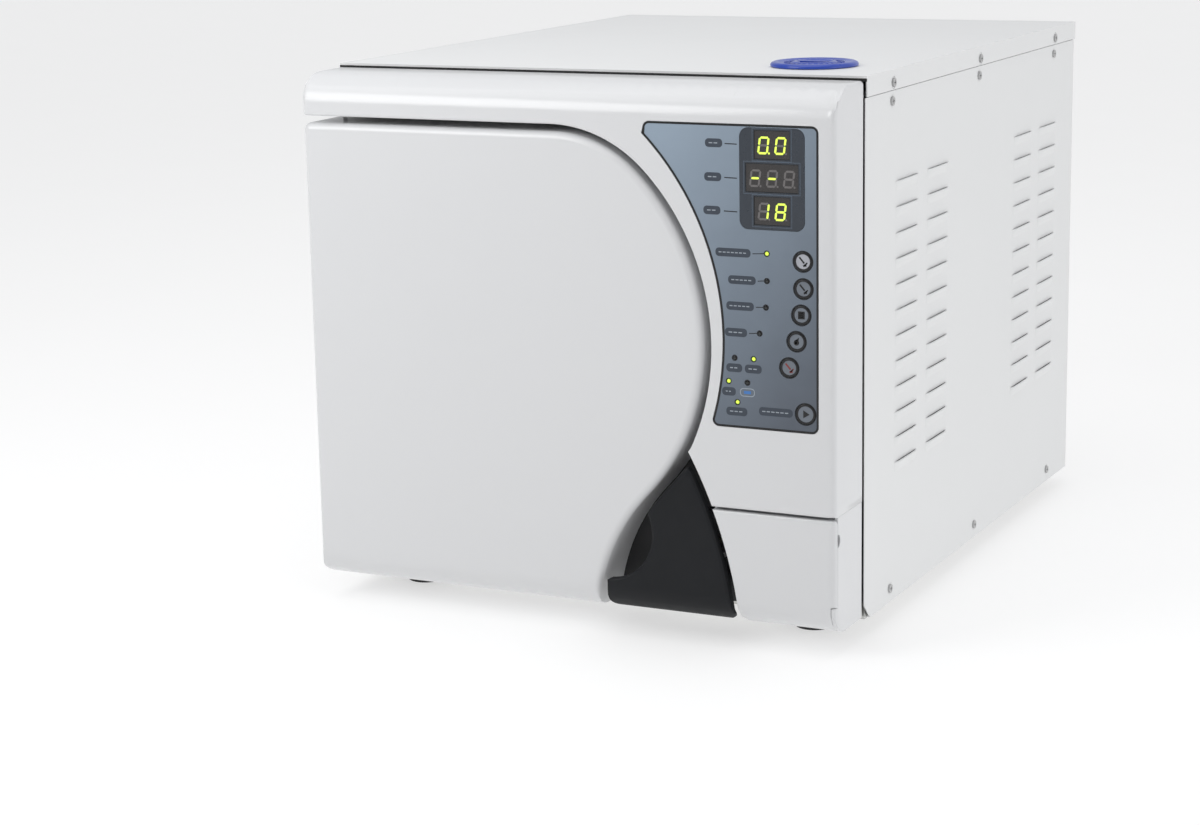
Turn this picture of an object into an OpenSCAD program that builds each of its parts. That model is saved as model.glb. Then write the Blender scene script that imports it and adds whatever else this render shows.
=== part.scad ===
// Benchtop steam steriliser (autoclave) of about 18 litres.
// Millimetres, +Z up. The origin is on the table, under the middle of the bounding box.
// The front faces -Y, and +X is the user's right.

/* [Cabinet] */
// Width across the cabinet and the front moulding
body_w = 450; // [446:1:456]
// Depth of the sheet-metal cabinet
cab_d = 544; // [540:1:560]
// Height of the sheet-metal cabinet without its feet
cab_h = 418; // [414:1:424]
// Depth of the moulded front
fascia_d = 62; // [60:1:66]
// Height of the rubber feet
foot_h = 15; // [12:1:20]
// Thickness of the cabinet's sheet steel
sheet = 1.2; // [1:0.1:1.5]
// Louvres in each column of a side panel
louvre_rows = 12; // [6:1:12]

/* [Moulded front] */
// Wall thickness of the mouldings
wall = 3; // [2.5:0.1:3.4]
// Radius of the arc that the fascia makes around the door
fascia_r = 184.6; // [183:0.1:186]
// Radius of the door's round edge
door_r = 177; // [175:0.1:178]
// Radius of the rounded bottom edge of the front
bottom_r = 22; // [18:1:24]

/* [Chamber] */
// Inner diameter of the chamber
chamber_id = 247; // [240:1:250]
// Straight depth of the chamber
chamber_d = 346; // [330:1:352]
// Wall of the chamber
chamber_wall = 1.5; // [1.2:0.1:1.8]
// Number of instrument trays
tray_count = 3; // [1:1:3]

/* [Controls] */
// Radius of the programme buttons
button_r = 7.2; // [6.5:0.1:7.6]
// How far a button travels
button_travel = 0.8; // [0.4:0.1:0.9]
// Radius of the start button
start_r = 7.8; // [7:0.1:8]

/* [Filler cap] */
// Radius of the filler cap
cap_r = 34; // [30:1:36]

/* [Hidden] */
$fn = 64;

// Planes of the whole machine
hw = body_w / 2;
rear_fitting = 10;
front = -(fascia_d + cab_d + rear_fitting) / 2;
cab_front = front + fascia_d;
cab_back = cab_front + cab_d;
cab_top = foot_h + cab_h;
fascia_rear = cab_front - 5;
door_rear = cab_front - 7;
front_bottom = foot_h + 4.5;
bulk_front = cab_front + 2;
bulk_rear = bulk_front + 2;
skin_x = hw - sheet;
tiny = 0.01;

// Front outlines, in X and Z
bar_bottom = 397;
fascia_top = cab_top - 3;
fascia_c = [-59, 234.5];
fascia_fillet = 110;
door_top = 391.5;
door_c = [-58, 236];
door_fillet = 100;
scoop_r = 161;
scoop_dir = -43.7;
slant_c = [-210, -21];
slant_r = 360;
seam_z = 109.3;
seam_gap = 2.2;
overlay_c = [-77.5, 240.3];
overlay_r = 213.4;
overlay_top = 402;
overlay_bottom = 175;
overlay_right = 212;
overlay_corner = 5;
overlay_face = front + 0.2;
overlay_t = 0.6;
pocket_depth = 0.85;
window_low = [150.3, 325.2];
window_high = [201.4, 399.8];
window_corner = 7;
module_gap = 3.2;
module_h = 21;
window_cx = 175.8;
top_drop = 26;
top_run = 32;
corner_r = 5;

// Chamber and door mechanism
chamber_c = [-61, 232];
chamber_ri = chamber_id / 2;
chamber_ro = chamber_ri + chamber_wall;
flange_face = bulk_front - 12;
flange_ro = 138;
chamber_end = flange_face + chamber_d;
hinge = [-214, -264];
hinge_z = [140, 325];
knuckle_h = 30;
knuckle_r = 7.5;
lug_h = 10;
pin_r = 4;
pivot = [118, -299];
pivot_r = 2.5;
fit = 0.05;
frame_y = [-262, -259.5];
tongue_z = [66, 70];
bolt = [118, -230];
bolt_r = 4;

// Handle outline
handle_r = slant_r - 5;
scallop_c = [36, 84];
scallop_r = 38.5;
grip_t = 4;

// Service area at the lower right
bay_x = [152, 218.5];
bay_z = [24, 106];
bay_y = [front + 6.5, front + 72];
bay_wall = 2.5;
flap_axis = [front + 10, 30];
flap_rod_r = 2;
valve_z = 44;
valve_x = [170, 200];
filter_at = [174, 81];
switch_at = [204, 81];

// Controls
button_z = [303.2, 283, 263.4, 243.5, 223.4];
start_at = [201.8, 189.3];
led_r = 1.5;
led_at = [[171.5, 307.6], [171.5, 287.3], [170.6, 267.5], [165.5, 247.7], [145.3, 228],
          [160.5, 228], [140.3, 210], [155.4, 209.8], [147.3, 194.4]];
board_y = front + 12;

// Sheet-metal details
lip_h = 15.6;
lip_t = 1;
screw_y = [-188, 22, 235];
louvre_y = [-154, -81, 145, 218];
louvre_l = 52;
louvre_top = 348;
louvre_pitch = 20.1;
louvre_out = 2.4;
louvre_h = 9.5;
cap_at = [158, -178];
fan_at = [110, 300];
fan_r = 52;
fan_y = [cab_back - 41, cab_back - 3];
guard_r = 64;
tray_pitch = 44;
tray_z0 = 168;
rack_half = 78;
foot_at = [175, 222];

// Points on an arc, from angle a0 to a1 in n steps
function arc(c, r, a0, a1, n) =
  [for (i = [0:n]) let (a = a0 + (a1 - a0) * i / n) c + r * [cos(a), sin(a)]];

// X on a circle's right or left side at height z
function circle_x(c, r, z, side) = c[0] + side * sqrt(r * r - (z - c[1]) * (z - c[1]));

// Centre of a fillet under a horizontal line, inside a bigger circle
function fillet_c(c, r, f, top) =
  let (dz = top - f - c[1]) [c[0] + sqrt((r - f) * (r - f) - dz * dz), top - f];

// Angle from one point to another
function heading(a, b) = atan2(b[1] - a[1], b[0] - a[0]);

// Height where the fascia's arc meets its slanted lower edge
slant_top = 152.3;

// X of a programme button, which lie on a shallow curve
function button_x(z) = 200.4 - 0.0026 * (z - 290) * (z - 290);

// Outline of the door, moved in by d
function door_outline(d) =
  let (top = door_top - d, low = front_bottom + d, r = door_r - d, f = door_fillet - d,
       fc = fillet_c(door_c, r, f, top), a = heading(door_c, fc),
       sc = door_c + (door_r + scoop_r) * [cos(scoop_dir), sin(scoop_dir)], sr = scoop_r + d,
       end = 180 - asin((low - sc[1]) / sr))
  concat([[-hw + d, low], [-hw + d, top]], arc(fc, f, 90, a, 12), arc(door_c, r, a, scoop_dir, 40),
         arc(sc, sr, 180 + scoop_dir, end, 16));

// Outline of the fascia, with its walls moved in by d
function fascia_outline(d) =
  let (low = bar_bottom + d, r = fascia_r + d, f = fascia_fillet + d,
       fc = fillet_c(fascia_c, r, f, low), a = heading(fascia_c, fc), sr = slant_r + d,
       z1 = slant_top, z0 = front_bottom + d)
  concat([[-hw + d, fascia_top - d], [-hw + d, low]], arc(fc, f, 90, a, 12),
         arc(fascia_c, r, a, asin((z1 - fascia_c[1]) / r), 36),
         arc(slant_c, sr, asin((z1 - slant_c[1]) / sr), asin((z0 - slant_c[1]) / sr), 16),
         [[hw - d, z0], [hw - d, fascia_top - d]]);

// Side profile of the moulded front in Y and Z, moved in by d
function front_profile(d) =
  let (z0 = front_bottom + d, z1 = fascia_top - d, r = bottom_r - d)
  concat([[fascia_rear + 1, z0]], arc([front + bottom_r, front_bottom + bottom_r], r, 270, 180, 10),
         [for (i = [0:10]) let (a = 9 * i)
           [front + d + (top_run - d) * (1 - cos(a)), z1 - (top_drop - d) * (1 - sin(a))]],
         [[fascia_rear + 1, z1]]);

// Plan of the moulded front in X and Y, with rounded front corners
function front_plan(d) =
  concat([[-hw + d, fascia_rear + 1]],
         arc([-hw + corner_r, front + corner_r], corner_r - d, 180, 270, 6),
         arc([hw - corner_r, front + corner_r], corner_r - d, 270, 360, 6),
         [[hw - d, fascia_rear + 1]]);

// Outline of the control overlay, moved in by d
function overlay_outline(d) =
  let (r = overlay_r + d, top = overlay_top - d, low = overlay_bottom + d,
       right = overlay_right - d, k = overlay_corner,
       z1 = overlay_top - k - 4, z0 = overlay_bottom + k)
  concat(arc([right - k, top - k], k, 0, 90, 5),
         arc([circle_x(overlay_c, r, z1, 1) + k + 1, top - k], k, 90, 175, 5),
         arc(overlay_c, r, asin((z1 - overlay_c[1]) / r), asin((z0 - overlay_c[1]) / r), 24),
         arc([circle_x(overlay_c, r, z0, 1) + k, low + k], k, 190, 270, 5),
         arc([right - k, low + k], k, 270, 360, 5));

// Outline of the handle grip in X and Z
function handle_outline() =
  let (low = front_bottom + 0.5, left = 35.5, k = 7, tip = 141,
       z0 = low + 6, a0 = asin((z0 - slant_c[1]) / handle_r), a1 = asin((tip - 4 - slant_c[1]) / handle_r))
  concat(arc([left + k, low + k], k, 180, 270, 6),
         arc([circle_x(slant_c, handle_r, z0, 1) - 6, z0], 6, 270, 360, 5),
         arc(slant_c, handle_r, a0, a1, 14),
         [[104.5, 141], [102.5, 138.5]],
         [[73.5, 105.5]],
         arc(scallop_c, scallop_r, 26, -86, 18),
         [[left, 44]]);

// Outline of the service door in X and Z, moved in by d
function flap_outline(d) =
  let (sr = slant_r + d, z1 = seam_z - d, z0 = front_bottom + d)
  concat(arc(slant_c, sr, asin((z1 - slant_c[1]) / sr), asin((z0 - slant_c[1]) / sr), 12),
         [[hw - d, z0], [hw - d, z1]]);

// Extrudes an X-Z outline along Y
module along_y(y0, y1) {
  translate([0, y1, 0]) rotate([90, 0, 0]) linear_extrude(y1 - y0) children();
}

// Extrudes a Y-Z outline along X
module along_x(x0, x1) {
  translate([x0, 0, 0]) rotate([90, 0, 90]) linear_extrude(x1 - x0) children();
}

// A box from its lowest to its highest corner
module block(lo, hi) {
  translate(lo) cube(hi - lo);
}

// Cylinders along each axis
module rod_x(at, r, x0, x1) {
  translate([x0, at[0], at[1]]) rotate([0, 90, 0]) cylinder(r = r, h = x1 - x0);
}
module rod_y(at, r, y0, y1) {
  translate([at[0], y0, at[1]]) rotate([-90, 0, 0]) cylinder(r = r, h = y1 - y0);
}
module rod_z(at, r, z0, z1) {
  translate([at[0], at[1], z0]) cylinder(r = r, h = z1 - z0);
}

// Turns a profile of radius and Y around an axis along Y
module lathe_y(at) {
  translate([at[0], 0, at[1]]) rotate([-90, 0, 0]) rotate_extrude() children();
}

// A rectangle with round corners
module soft_rect(lo, hi, r) {
  translate(lo + [r, r]) offset(r) square(hi - lo - [2 * r, 2 * r]);
}

// ---------------------------------------------------------------- cabinet

module base_pan() {
  color("gainsboro") difference() {
    block([-hw + 1.8, cab_front + 6, foot_h], [hw - 1.8, cab_back - 3, foot_h + 25]);
    block([-hw + 3.3, cab_front + 7.5, foot_h + 1.5], [hw - 3.3, cab_back - 4.5, foot_h + 26]);
    for (x = [-150:30:-60], y = [-120, 60])
      block([x, y, foot_h - 1], [x + 5, y + 60, foot_h + 3]);
    for (sx = [-1, 1], sy = [-1, 1])
      rod_z([sx * foot_at[0], foot_y(sy)], 2.6, foot_h - 1, foot_h + 3);
    for (y = screw_y) rod_x([y, lower_screw_z], 1.8, -hw, hw);
    for (x = rear_screw_x) rod_y([x, rear_screw_z[0]], 1.8, cab_back - 8, cab_back);
    block([bay_x[0] - 1, cab_front + 5, bay_z[0] - 1], [bay_x[1] + 1, cab_front + 12, foot_h + 26]);
  }
}

// Y of the front or rear pair of feet
function foot_y(s) = s < 0 ? -foot_at[1] : foot_at[1] + 30;

module rubber_feet() {
  color("dimgray") for (sx = [-1, 1], sy = [-1, 1])
    translate([sx * foot_at[0], foot_y(sy), 0]) difference() {
      rotate_extrude() polygon([[0, 0], [15, 0], [16.5, 1.5], [22, foot_h], [0, foot_h]]);
      translate([0, 0, -1]) cylinder(r = 6, h = 7);
      cylinder(r = 2.6, h = foot_h + 1);
    }
}

// A pan-head screw whose head's underside is at the origin and whose head points along +Z
module pan_screw(head_r = 3.4, head_h = 1.7, shank_r = 1.7, shank_l = 8) {
  difference() {
    cylinder(r = head_r, h = head_h);
    for (a = [0, 90]) rotate([0, 0, a]) translate([-2, -0.4, head_h - 0.9]) cube([4, 0.8, 1]);
  }
  translate([0, 0, -shank_l]) cylinder(r = shank_r, h = shank_l + tiny);
}

// Heights of the screw rows on a cabinet side
lip_screw_z = cab_top - 10;
upper_screw_z = cab_top - 24;
lower_screw_z = foot_h + 11;
rear_screw_x = [-205, 0, 205];
rear_screw_z = [foot_h + 15, cab_top - 40];

module case_screws() {
  color("silver") {
    for (s = [-1, 1], y = screw_y) {
      translate([s * (hw + 0.5), y, lip_screw_z]) rotate([0, s * 90, 0]) pan_screw(shank_l = 7);
      for (z = [upper_screw_z, lower_screw_z])
        translate([s * (hw - 0.5), y, z]) rotate([0, s * 90, 0]) pan_screw(shank_l = 6);
    }
    for (x = rear_screw_x, z = rear_screw_z)
      translate([x, cab_back, z]) rotate([-90, 0, 0]) pan_screw(shank_l = 6);
    for (sx = [-1, 1], sy = [-1, 1])
      translate([sx * foot_at[0], foot_y(sy), 6]) rotate([180, 0, 0])
        pan_screw(5, 2.5, 2.5, 14);
  }
}

// Z of the top edge of louvre i
function louvre_z(i) = louvre_top - i * louvre_pitch;

// The right-hand side panel; the left one is its mirror image
module side_panel() {
  difference() {
    union() {
      along_x(skin_x, hw) polygon([[cab_front, foot_h + 13], [cab_front, cab_top - 4.2],
        [cab_front + 1.2, cab_top - 4.2], [cab_front + 1.2, cab_top - 1.4],
        [cab_back, cab_top - 1.4], [cab_back, foot_h], [cab_front + 13, foot_h]]);
      block([skin_x - 4, cab_front, foot_h + 14], [skin_x + tiny, cab_front + sheet, cab_top - 4.2]);
      for (y = louvre_y, i = [0:louvre_rows - 1])
        translate([0, y, louvre_z(i)]) louvre_hood();
    }
    for (y = louvre_y, i = [0:louvre_rows - 1])
      translate([0, y, louvre_z(i)])
        block([skin_x - 1, -louvre_l / 2 + 1.5, -5], [hw + 1, louvre_l / 2 - 1.5, -1]);
    for (y = screw_y, z = [upper_screw_z, lower_screw_z]) {
      rod_x([y, z], 5, hw - 0.5, hw + 1);
      rod_x([y, z], 1.8, skin_x - 1, hw);
    }
    for (y = screw_y) rod_x([y, lip_screw_z], 1.8, skin_x - 1, hw + 1);
  }
}

// The raised flap of a louvre, open at its top edge
module louvre_hood() {
  along_x(hw - 0.4, hw + louvre_out) polygon([[-louvre_l / 2, -louvre_h], [louvre_l / 2, -louvre_h],
    [louvre_l / 2, -1], [-louvre_l / 2, -1]]);
}

module right_side_panel() {
  color("whitesmoke") difference() {
    side_panel();
    louvre_undercuts();
  }
}

// Takes the wedge from over and behind each louvre's sloping flap
module louvre_undercuts() {
  for (y = louvre_y, i = [0:louvre_rows - 1])
    translate([0, y, louvre_z(i)]) {
      translate([0, louvre_l / 2 + 1, 0]) rotate([90, 0, 0]) linear_extrude(louvre_l + 2)
        polygon([[hw, -louvre_h], [hw + louvre_out, -2.6], [hw + louvre_out, -0.8],
                 [hw + louvre_out + 1, -0.8], [hw + louvre_out + 1, -louvre_h - 1], [hw, -louvre_h - 1]]);
      translate([0, louvre_l / 2 - 1.2, 0]) rotate([90, 0, 0]) linear_extrude(louvre_l - 2.4)
        polygon([[hw - 0.41, -5], [hw + 0.2, -5], [hw + louvre_out - 1, -2.2],
                 [hw + louvre_out - 1, -0.9], [hw - 0.41, -0.9]]);
    }
}

module left_side_panel() {
  color("whitesmoke") difference() {
    mirror([1, 0, 0]) difference() {
      side_panel();
      louvre_undercuts();
    }
    for (z = hinge_z)
      block([-skin_x - tiny, cab_front - 1, z - 32], [-skin_x + 9, cab_front + 2, z + 32]);
  }
}

module top_cover() {
  color("whitesmoke") difference() {
    block([-hw - lip_t, cab_front, cab_top - lip_h], [hw + lip_t, cab_back + 1.2, cab_top]);
    block([-hw, cab_front + 1, cab_top - lip_h - 1], [hw, cab_back + 0.2, cab_top - sheet]);
    block([-hw - 2, cab_front - 1, cab_top - lip_h - 1], [hw + 2, cab_front + 1, cab_top - 4]);
    rod_z(cap_at, 24.3, cab_top - 3, cab_top + 1);
    for (s = [-1, 1], y = screw_y) {
      translate([s * (hw + 0.5), y, lip_screw_z]) rotate([0, s * 90, 0]) cylinder(r = 5, h = 2);
      translate([s * (hw - 1), y, lip_screw_z]) rotate([0, s * 90, 0]) cylinder(r = 1.8, h = 3);
    }
  }
}

module rear_panel() {
  color("whitesmoke") difference() {
    block([-skin_x + 0.2, cab_back - sheet, foot_h + 1.6], [skin_x - 0.2, cab_back, cab_top - 1.6]);
    rod_y(fan_at, fan_r + 2, cab_back - 3, cab_back + 1);
    block([inlet_at[0] - 14.2, cab_back - 3, inlet_at[1] - 24.2],
          [inlet_at[0] + 14.2, cab_back + 1, inlet_at[1] + 24.2]);
    rod_y(safety_at, 13, cab_back - 3, cab_back + 1);
    for (i = [0:8], x = [-190, -110])
      block([x, cab_back - 3, 190 + i * 14], [x + 60, cab_back + 1, 194 + i * 14]);
    for (x = rear_screw_x, z = rear_screw_z) rod_y([x, z], 1.8, cab_back - 3, cab_back + 1);
    for (a = [45:90:315])
      rod_y(fan_at + guard_r * [cos(a), sin(a)], 2.1, cab_back - 3, cab_back + 1);
  }
}

inlet_at = [160, 70];
safety_at = [-61, 330];

module front_bulkhead() {
  color("silver") difference() {
    block([-hw + 3, bulk_front, foot_h + 2], [hw - 3, bulk_rear, cab_top - 5]);
    rod_y(chamber_c, chamber_ro + 1, bulk_front - 1, bulk_rear + 1);
    block([56, bulk_front - 1, tongue_z[0] - 8], [136, bulk_rear + 1, tongue_z[1] + 10]);
    block([bay_x[0] - 1, bulk_front - 1, bay_z[0] - 1], [bay_x[1] + 1, bulk_rear + 1, bay_z[1] + 1]);
    block([150, bulk_front - 1, 130], [205, bulk_rear + 1, 165]);
  }
}

// ---------------------------------------------------------------- moulded front

// The rounded block of the front, moved in by d, from y = front + d to the rear
module front_body(d, rear) {
  intersection() {
    along_x(-hw - 1, hw + 1) polygon(front_profile(d));
    linear_extrude(cab_top) polygon(front_plan(d));
    block([-hw - 1, front - 1, 0], [hw + 1, rear, cab_top]);
  }
}

module front_fascia() {
  low_cut = seam_z + seam_gap;
  corner_z = flap_axis[1] + 11.6;
  color("white") for (b = [[-205, 414], [0, 414], [205, 412], [210, 125]])
    rod_y(b, 5, front + wall - 0.5, bulk_front - 0.1);
  color("white") difference() {
    intersection() {
      front_body(0, fascia_rear);
      along_y(front - 1, fascia_rear) polygon(fascia_outline(0));
    }
    intersection() {
      front_body(wall, fascia_rear + 1);
      along_y(front + wall, fascia_rear + 1) polygon(fascia_outline(wall));
    }
    // room for the service door and its lip
    block([100, front - 1, 0], [hw - wall, front + 6.5, low_cut]);
    block([hw - wall - 1, front - 1, corner_z], [hw + 1, front + 6.5, low_cut]);
    block([100, front + 6, 0], [hw - wall, front + bottom_r + 2.5, low_cut - 60]);
    // finger notch beside the service door
    rod_x([front + 6.5, 93], 5, hw - wall - 1, hw + 1);
    // recess for the overlay, and the openings behind it
    along_y(front - 1, front + pocket_depth) polygon(overlay_outline(-0.3));
    along_y(front, front + wall + 1)
      soft_rect(window_low - [0.2, 0.2], window_high + [0.2, 0.2], window_corner);
    for (i = [0:4]) rod_y([button_x(button_z[i]), button_z[i]], button_r + 0.3, front, front + wall + 1);
    rod_y(start_at, start_r + 0.3, front, front + wall + 1);
    for (p = led_at) rod_y(p, led_r + 0.15, front, front + wall + 1);
  }
}

module control_overlay() {
  color("slategray") difference() {
    along_y(overlay_face, overlay_face + overlay_t) polygon(overlay_outline(0));
    along_y(front - 1, front + 2)
      soft_rect(window_low - [0.2, 0.2], window_high + [0.2, 0.2], window_corner);
    for (i = [0:4]) rod_y([button_x(button_z[i]), button_z[i]], button_r + 0.3, front - 1, front + 2);
    rod_y(start_at, start_r + 0.3, front - 1, front + 2);
    for (p = led_at) rod_y(p, led_r + 0.1, front - 1, front + 2);
  }
}

// Width, middle and bottom of each digit module, from the top down
module_w = [28, 41.6, 28.4];
function module_z(i) = 377 - i * (module_h + module_gap);

module display_window() {
  color("darkslategray") difference() {
    along_y(overlay_face - 0.1, front + wall) soft_rect(window_low, window_high, window_corner);
    for (i = [0:2])
      block([window_cx - module_w[i] / 2, front - 1, module_z(i)],
            [window_cx + module_w[i] / 2, front + wall + 1, module_z(i) + module_h]);
  }
}

module digit_modules() {
  color("dimgray") for (i = [0:2])
    block([window_cx - module_w[i] / 2 + 0.25, front + 0.5, module_z(i) + 0.25],
          [window_cx + module_w[i] / 2 - 0.25, board_y - 1.6, module_z(i) + module_h - 0.25]);
}

module status_lights() {
  color("yellowgreen") for (p = led_at) {
    rod_y(p, led_r, front + 0.1, board_y - 1.7);
    rod_y(p, led_r + 0.4, front + wall + 0.3, front + wall + 1.4);
  }
}

module control_board() {
  color("darkgreen") {
    difference() {
      block([133, board_y - 1.6, 178], [218, board_y, 398]);
      for (x = [137, 214], z = [182, 394]) rod_y([x, z], 1.6, board_y - 3, board_y + 1);
    }
    for (x = [143, 214], z = [190, 386]) rod_y([x, z], 2.5, front + wall + 0.1, board_y - 1.5);
    for (i = [0:4]) switch_block([button_x(button_z[i]), button_z[i]]);
    switch_block(start_at);
    block([150, board_y - tiny, 210], [190, board_y + 8, 224]);
    block([150, board_y - tiny, 250], [168, board_y + 3, 268]);
    block([176, board_y - tiny, 300], [206, board_y + 12, 330]);
    for (z = [345, 360, 375]) rod_y([160, z], 5, board_y - tiny, board_y + 14);
  }
}

// A tact switch behind a button
module switch_block(at) {
  block([at[0] - 3, front + 8.2, at[1] - 3], [at[0] + 3, board_y - 1.6 + tiny, at[1] + 3]);
}

// A button with its retaining disc and stem
module button(at, r) {
  rod_y(at, r, front, front + wall + 0.8);
  rod_y(at, r + 1.2, front + wall + 0.4, front + wall + 1.4);
  rod_y(at, 2, front + wall + 1, front + 7);
}

module program_button(i) {
  color("lightgray") button([button_x(button_z[i - 1]), button_z[i - 1]], button_r);
}

module start_button() {
  color("lightgray") button(start_at, start_r);
}

// ---------------------------------------------------------------- service area

module service_bay() {
  w = bay_wall;
  block_x = [181, 189];
  color("dimgray") difference() {
    union() {
      difference() {
        block([bay_x[0], bay_y[0], bay_z[0]], [bay_x[1], bay_y[1], bay_z[1]]);
        block([bay_x[0] + w, bay_y[0] - 1, bay_z[0] + w], [bay_x[1] - w, bay_y[1] - w, bay_z[1] - w]);
        block([bay_x[0] - 1, bay_y[0] - 1, bay_z[0] - 1],
              [bay_x[1] + 1, flap_axis[0] + 17, flap_axis[1] + 17]);
      }
      // hinge block of the service door, on an arm from the back wall
      block([block_x[0], flap_axis[0] - 3, flap_axis[1] + 15], [block_x[1], bay_y[1] - 1, flap_axis[1] + 19]);
      block([block_x[0], flap_axis[0] - 3, flap_axis[1]], [block_x[1], flap_axis[0] + 4, flap_axis[1] + 19]);
      rod_x(flap_axis, 4, block_x[0], block_x[1]);
    }
    rod_x(flap_axis, flap_rod_r + fit, block_x[0] - 1, block_x[1] + 1);
    for (x = valve_x) rod_y([x, valve_z], 6.1, bay_y[1] - w - 1, bay_y[1] + 1);
    rod_y(filter_at, 6.1, bay_y[1] - w - 1, bay_y[1] + 1);
    block([switch_at[0] - 6.7, bay_y[1] - w - 1, switch_at[1] - 11.2],
          [switch_at[0] + 6.7, bay_y[1] + 1, switch_at[1] + 11.2]);
  }
}

module service_door() {
  knuckles = [[164, 180.6], [189.4, 206]];
  color("white") difference() {
    union() {
      difference() {
        intersection() {
          front_body(0, front + bottom_r);
          along_y(front - 1, front + bottom_r) polygon(flap_outline(0));
        }
        intersection() {
          front_body(wall, front + bottom_r + 1);
          along_y(front + wall, front + bottom_r + 1) polygon(flap_outline(-10));
        }
        // the right-hand return stops short of the fascia's side
        block([hw - wall - 0.4, front + 5.7, 0], [hw + 1, front + 40, seam_z + 1]);
        block([hw - wall - 0.4, front - 1, 0], [hw + 1, front + 40, flap_axis[1] + 11.9]);
        rod_x(flap_axis, 15.6, hw - wall - 0.4, hw + 1);
        // the lower edge is set back where it swings past the fascia's rib
        block([100, front + 19.5, 0], [150.6, front + 40, flap_axis[1]]);
        // pocket in front of the hinge block
        rod_x(flap_axis, 4.3, knuckles[0][1], knuckles[1][0]);
      }
      for (k = knuckles) {
        rod_x(flap_axis, 4.5, k[0], k[1]);
        block([k[0], front + 2.5, flap_axis[1] - 3.5], [k[1], flap_axis[0], flap_axis[1] + 3.5]);
      }
    }
    rod_x(flap_axis, flap_rod_r + fit, bay_x[0], bay_x[1]);
  }
}

module drain_valve_bodies() {
  color("goldenrod") for (x = valve_x) difference() {
    union() {
      rod_y([x, valve_z], 6, front + 56, front + 84);
      rod_y([x, valve_z], 9, bay_y[1] + 0.1, bay_y[1] + 4);
      rod_y([x, valve_z], 8, front + 62, bay_y[1] - bay_wall - 0.1);
      rod_y([x, valve_z], 4, front + 83, front + 96);
    }
    rod_y([x, valve_z], 2.5 + fit, front + 50, front + 74);
    rod_y([x, valve_z], 2, front + 70, front + 97);
  }
}

// A fluted knob on a stem along Y
module drain_knob(x) {
  difference() {
    union() {
      rod_y([x, valve_z], 9.5, front + 42, front + 54.5);
      rod_y([x, valve_z], 2.5, front + 54, front + 68);
    }
    for (a = [0:30:330]) translate([x + 10.2 * cos(a), front + 40, valve_z + 10.2 * sin(a)])
      rotate([-90, 0, 0]) cylinder(r = 1.5, h = 11);
    block([x - 1, front + 41, valve_z - 7], [x + 1, front + 43, valve_z + 7]);
  }
}

module clean_drain_knob() {
  color("royalblue") drain_knob(valve_x[0]);
}

module used_drain_knob() {
  color("darkgray") drain_knob(valve_x[1]);
}

module air_filter() {
  color("white") difference() {
    union() {
      rod_y(filter_at, 14, front + 46, front + 66);
      rod_y(filter_at, 10, front + 65, front + 69.4);
      rod_y(filter_at, 6, front + 69, front + 82);
    }
    for (i = [0:3]) difference() {
      rod_y(filter_at, 16, front + 49 + 4 * i, front + 51 + 4 * i);
      rod_y(filter_at, 12.6, front + 48 + 4 * i, front + 52 + 4 * i);
    }
    rod_y(filter_at, 3, front + 60, front + 83);
  }
}

module power_switch_housing() {
  x = switch_at[0];
  z = switch_at[1];
  color("black") difference() {
    union() {
      block([x - 8, bay_y[1] - bay_wall - 2.1, z - 13], [x + 8, bay_y[1] - bay_wall - 0.1, z + 13]);
      block([x - 6.5, bay_y[1] - bay_wall - 0.2, z - 11], [x + 6.5, bay_y[1] + 14, z + 11]);
    }
    block([x - 5, bay_y[1] - bay_wall - 3, z - 9.8], [x + 5, bay_y[1] + 8, z + 9.8]);
    rod_x([rocker_y, z], 1.2 + fit, x - 6, x + 6);
  }
}

rocker_y = bay_y[1] - bay_wall - 1;

module power_rocker() {
  x = switch_at[0];
  color("black") translate([0, rocker_y, switch_at[1]]) rotate([-10, 0, 0]) {
    along_x(x - 4.6, x + 4.6)
      polygon([[-5, -8.4], [-3.4, 0], [-5, 8.4], [1.5, 8.2], [3.4, 0], [1.5, -8.2]]);
    rod_x([0, 0], 1.2, x - 5.8, x + 5.8);
  }
}

// ---------------------------------------------------------------- chamber

module chamber_vessel() {
  dish = 30;
  step = 10;
  color("lightsteelblue") lathe_y(chamber_c) polygon(concat(
    [[chamber_ri, flange_face], [chamber_ro, flange_face]],
    [for (i = [0:step]) let (a = 90 * i / step)
      [chamber_ro * cos(a), chamber_end + (dish + chamber_wall) * sin(a)]],
    [for (i = [step:-1:0]) let (a = 90 * i / step)
      [chamber_ri * cos(a), chamber_end + dish * sin(a)]]));
}

module chamber_flange() {
  color("silver") difference() {
    rod_y(chamber_c, flange_ro, flange_face, bulk_front);
    rod_y(chamber_c, chamber_ro + 0.1, flange_face - 1, bulk_front + 1);
  }
}

module chamber_heater() {
  color("orangered") for (y = [-150, -60, 30]) difference() {
    rod_y(chamber_c, chamber_ro + 3, y, y + 50);
    rod_y(chamber_c, chamber_ro + 0.2, y - 1, y + 51);
  }
}

module insulation_jacket() {
  color("khaki") difference() {
    rod_y(chamber_c, chamber_ro + 24, bulk_rear + 2, chamber_end + 50);
    rod_y(chamber_c, chamber_ro + 4, bulk_rear + 1, chamber_end + 36);
    rod_y(safety_at, 12, chamber_end + 30, chamber_end + 51);
  }
}

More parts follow.
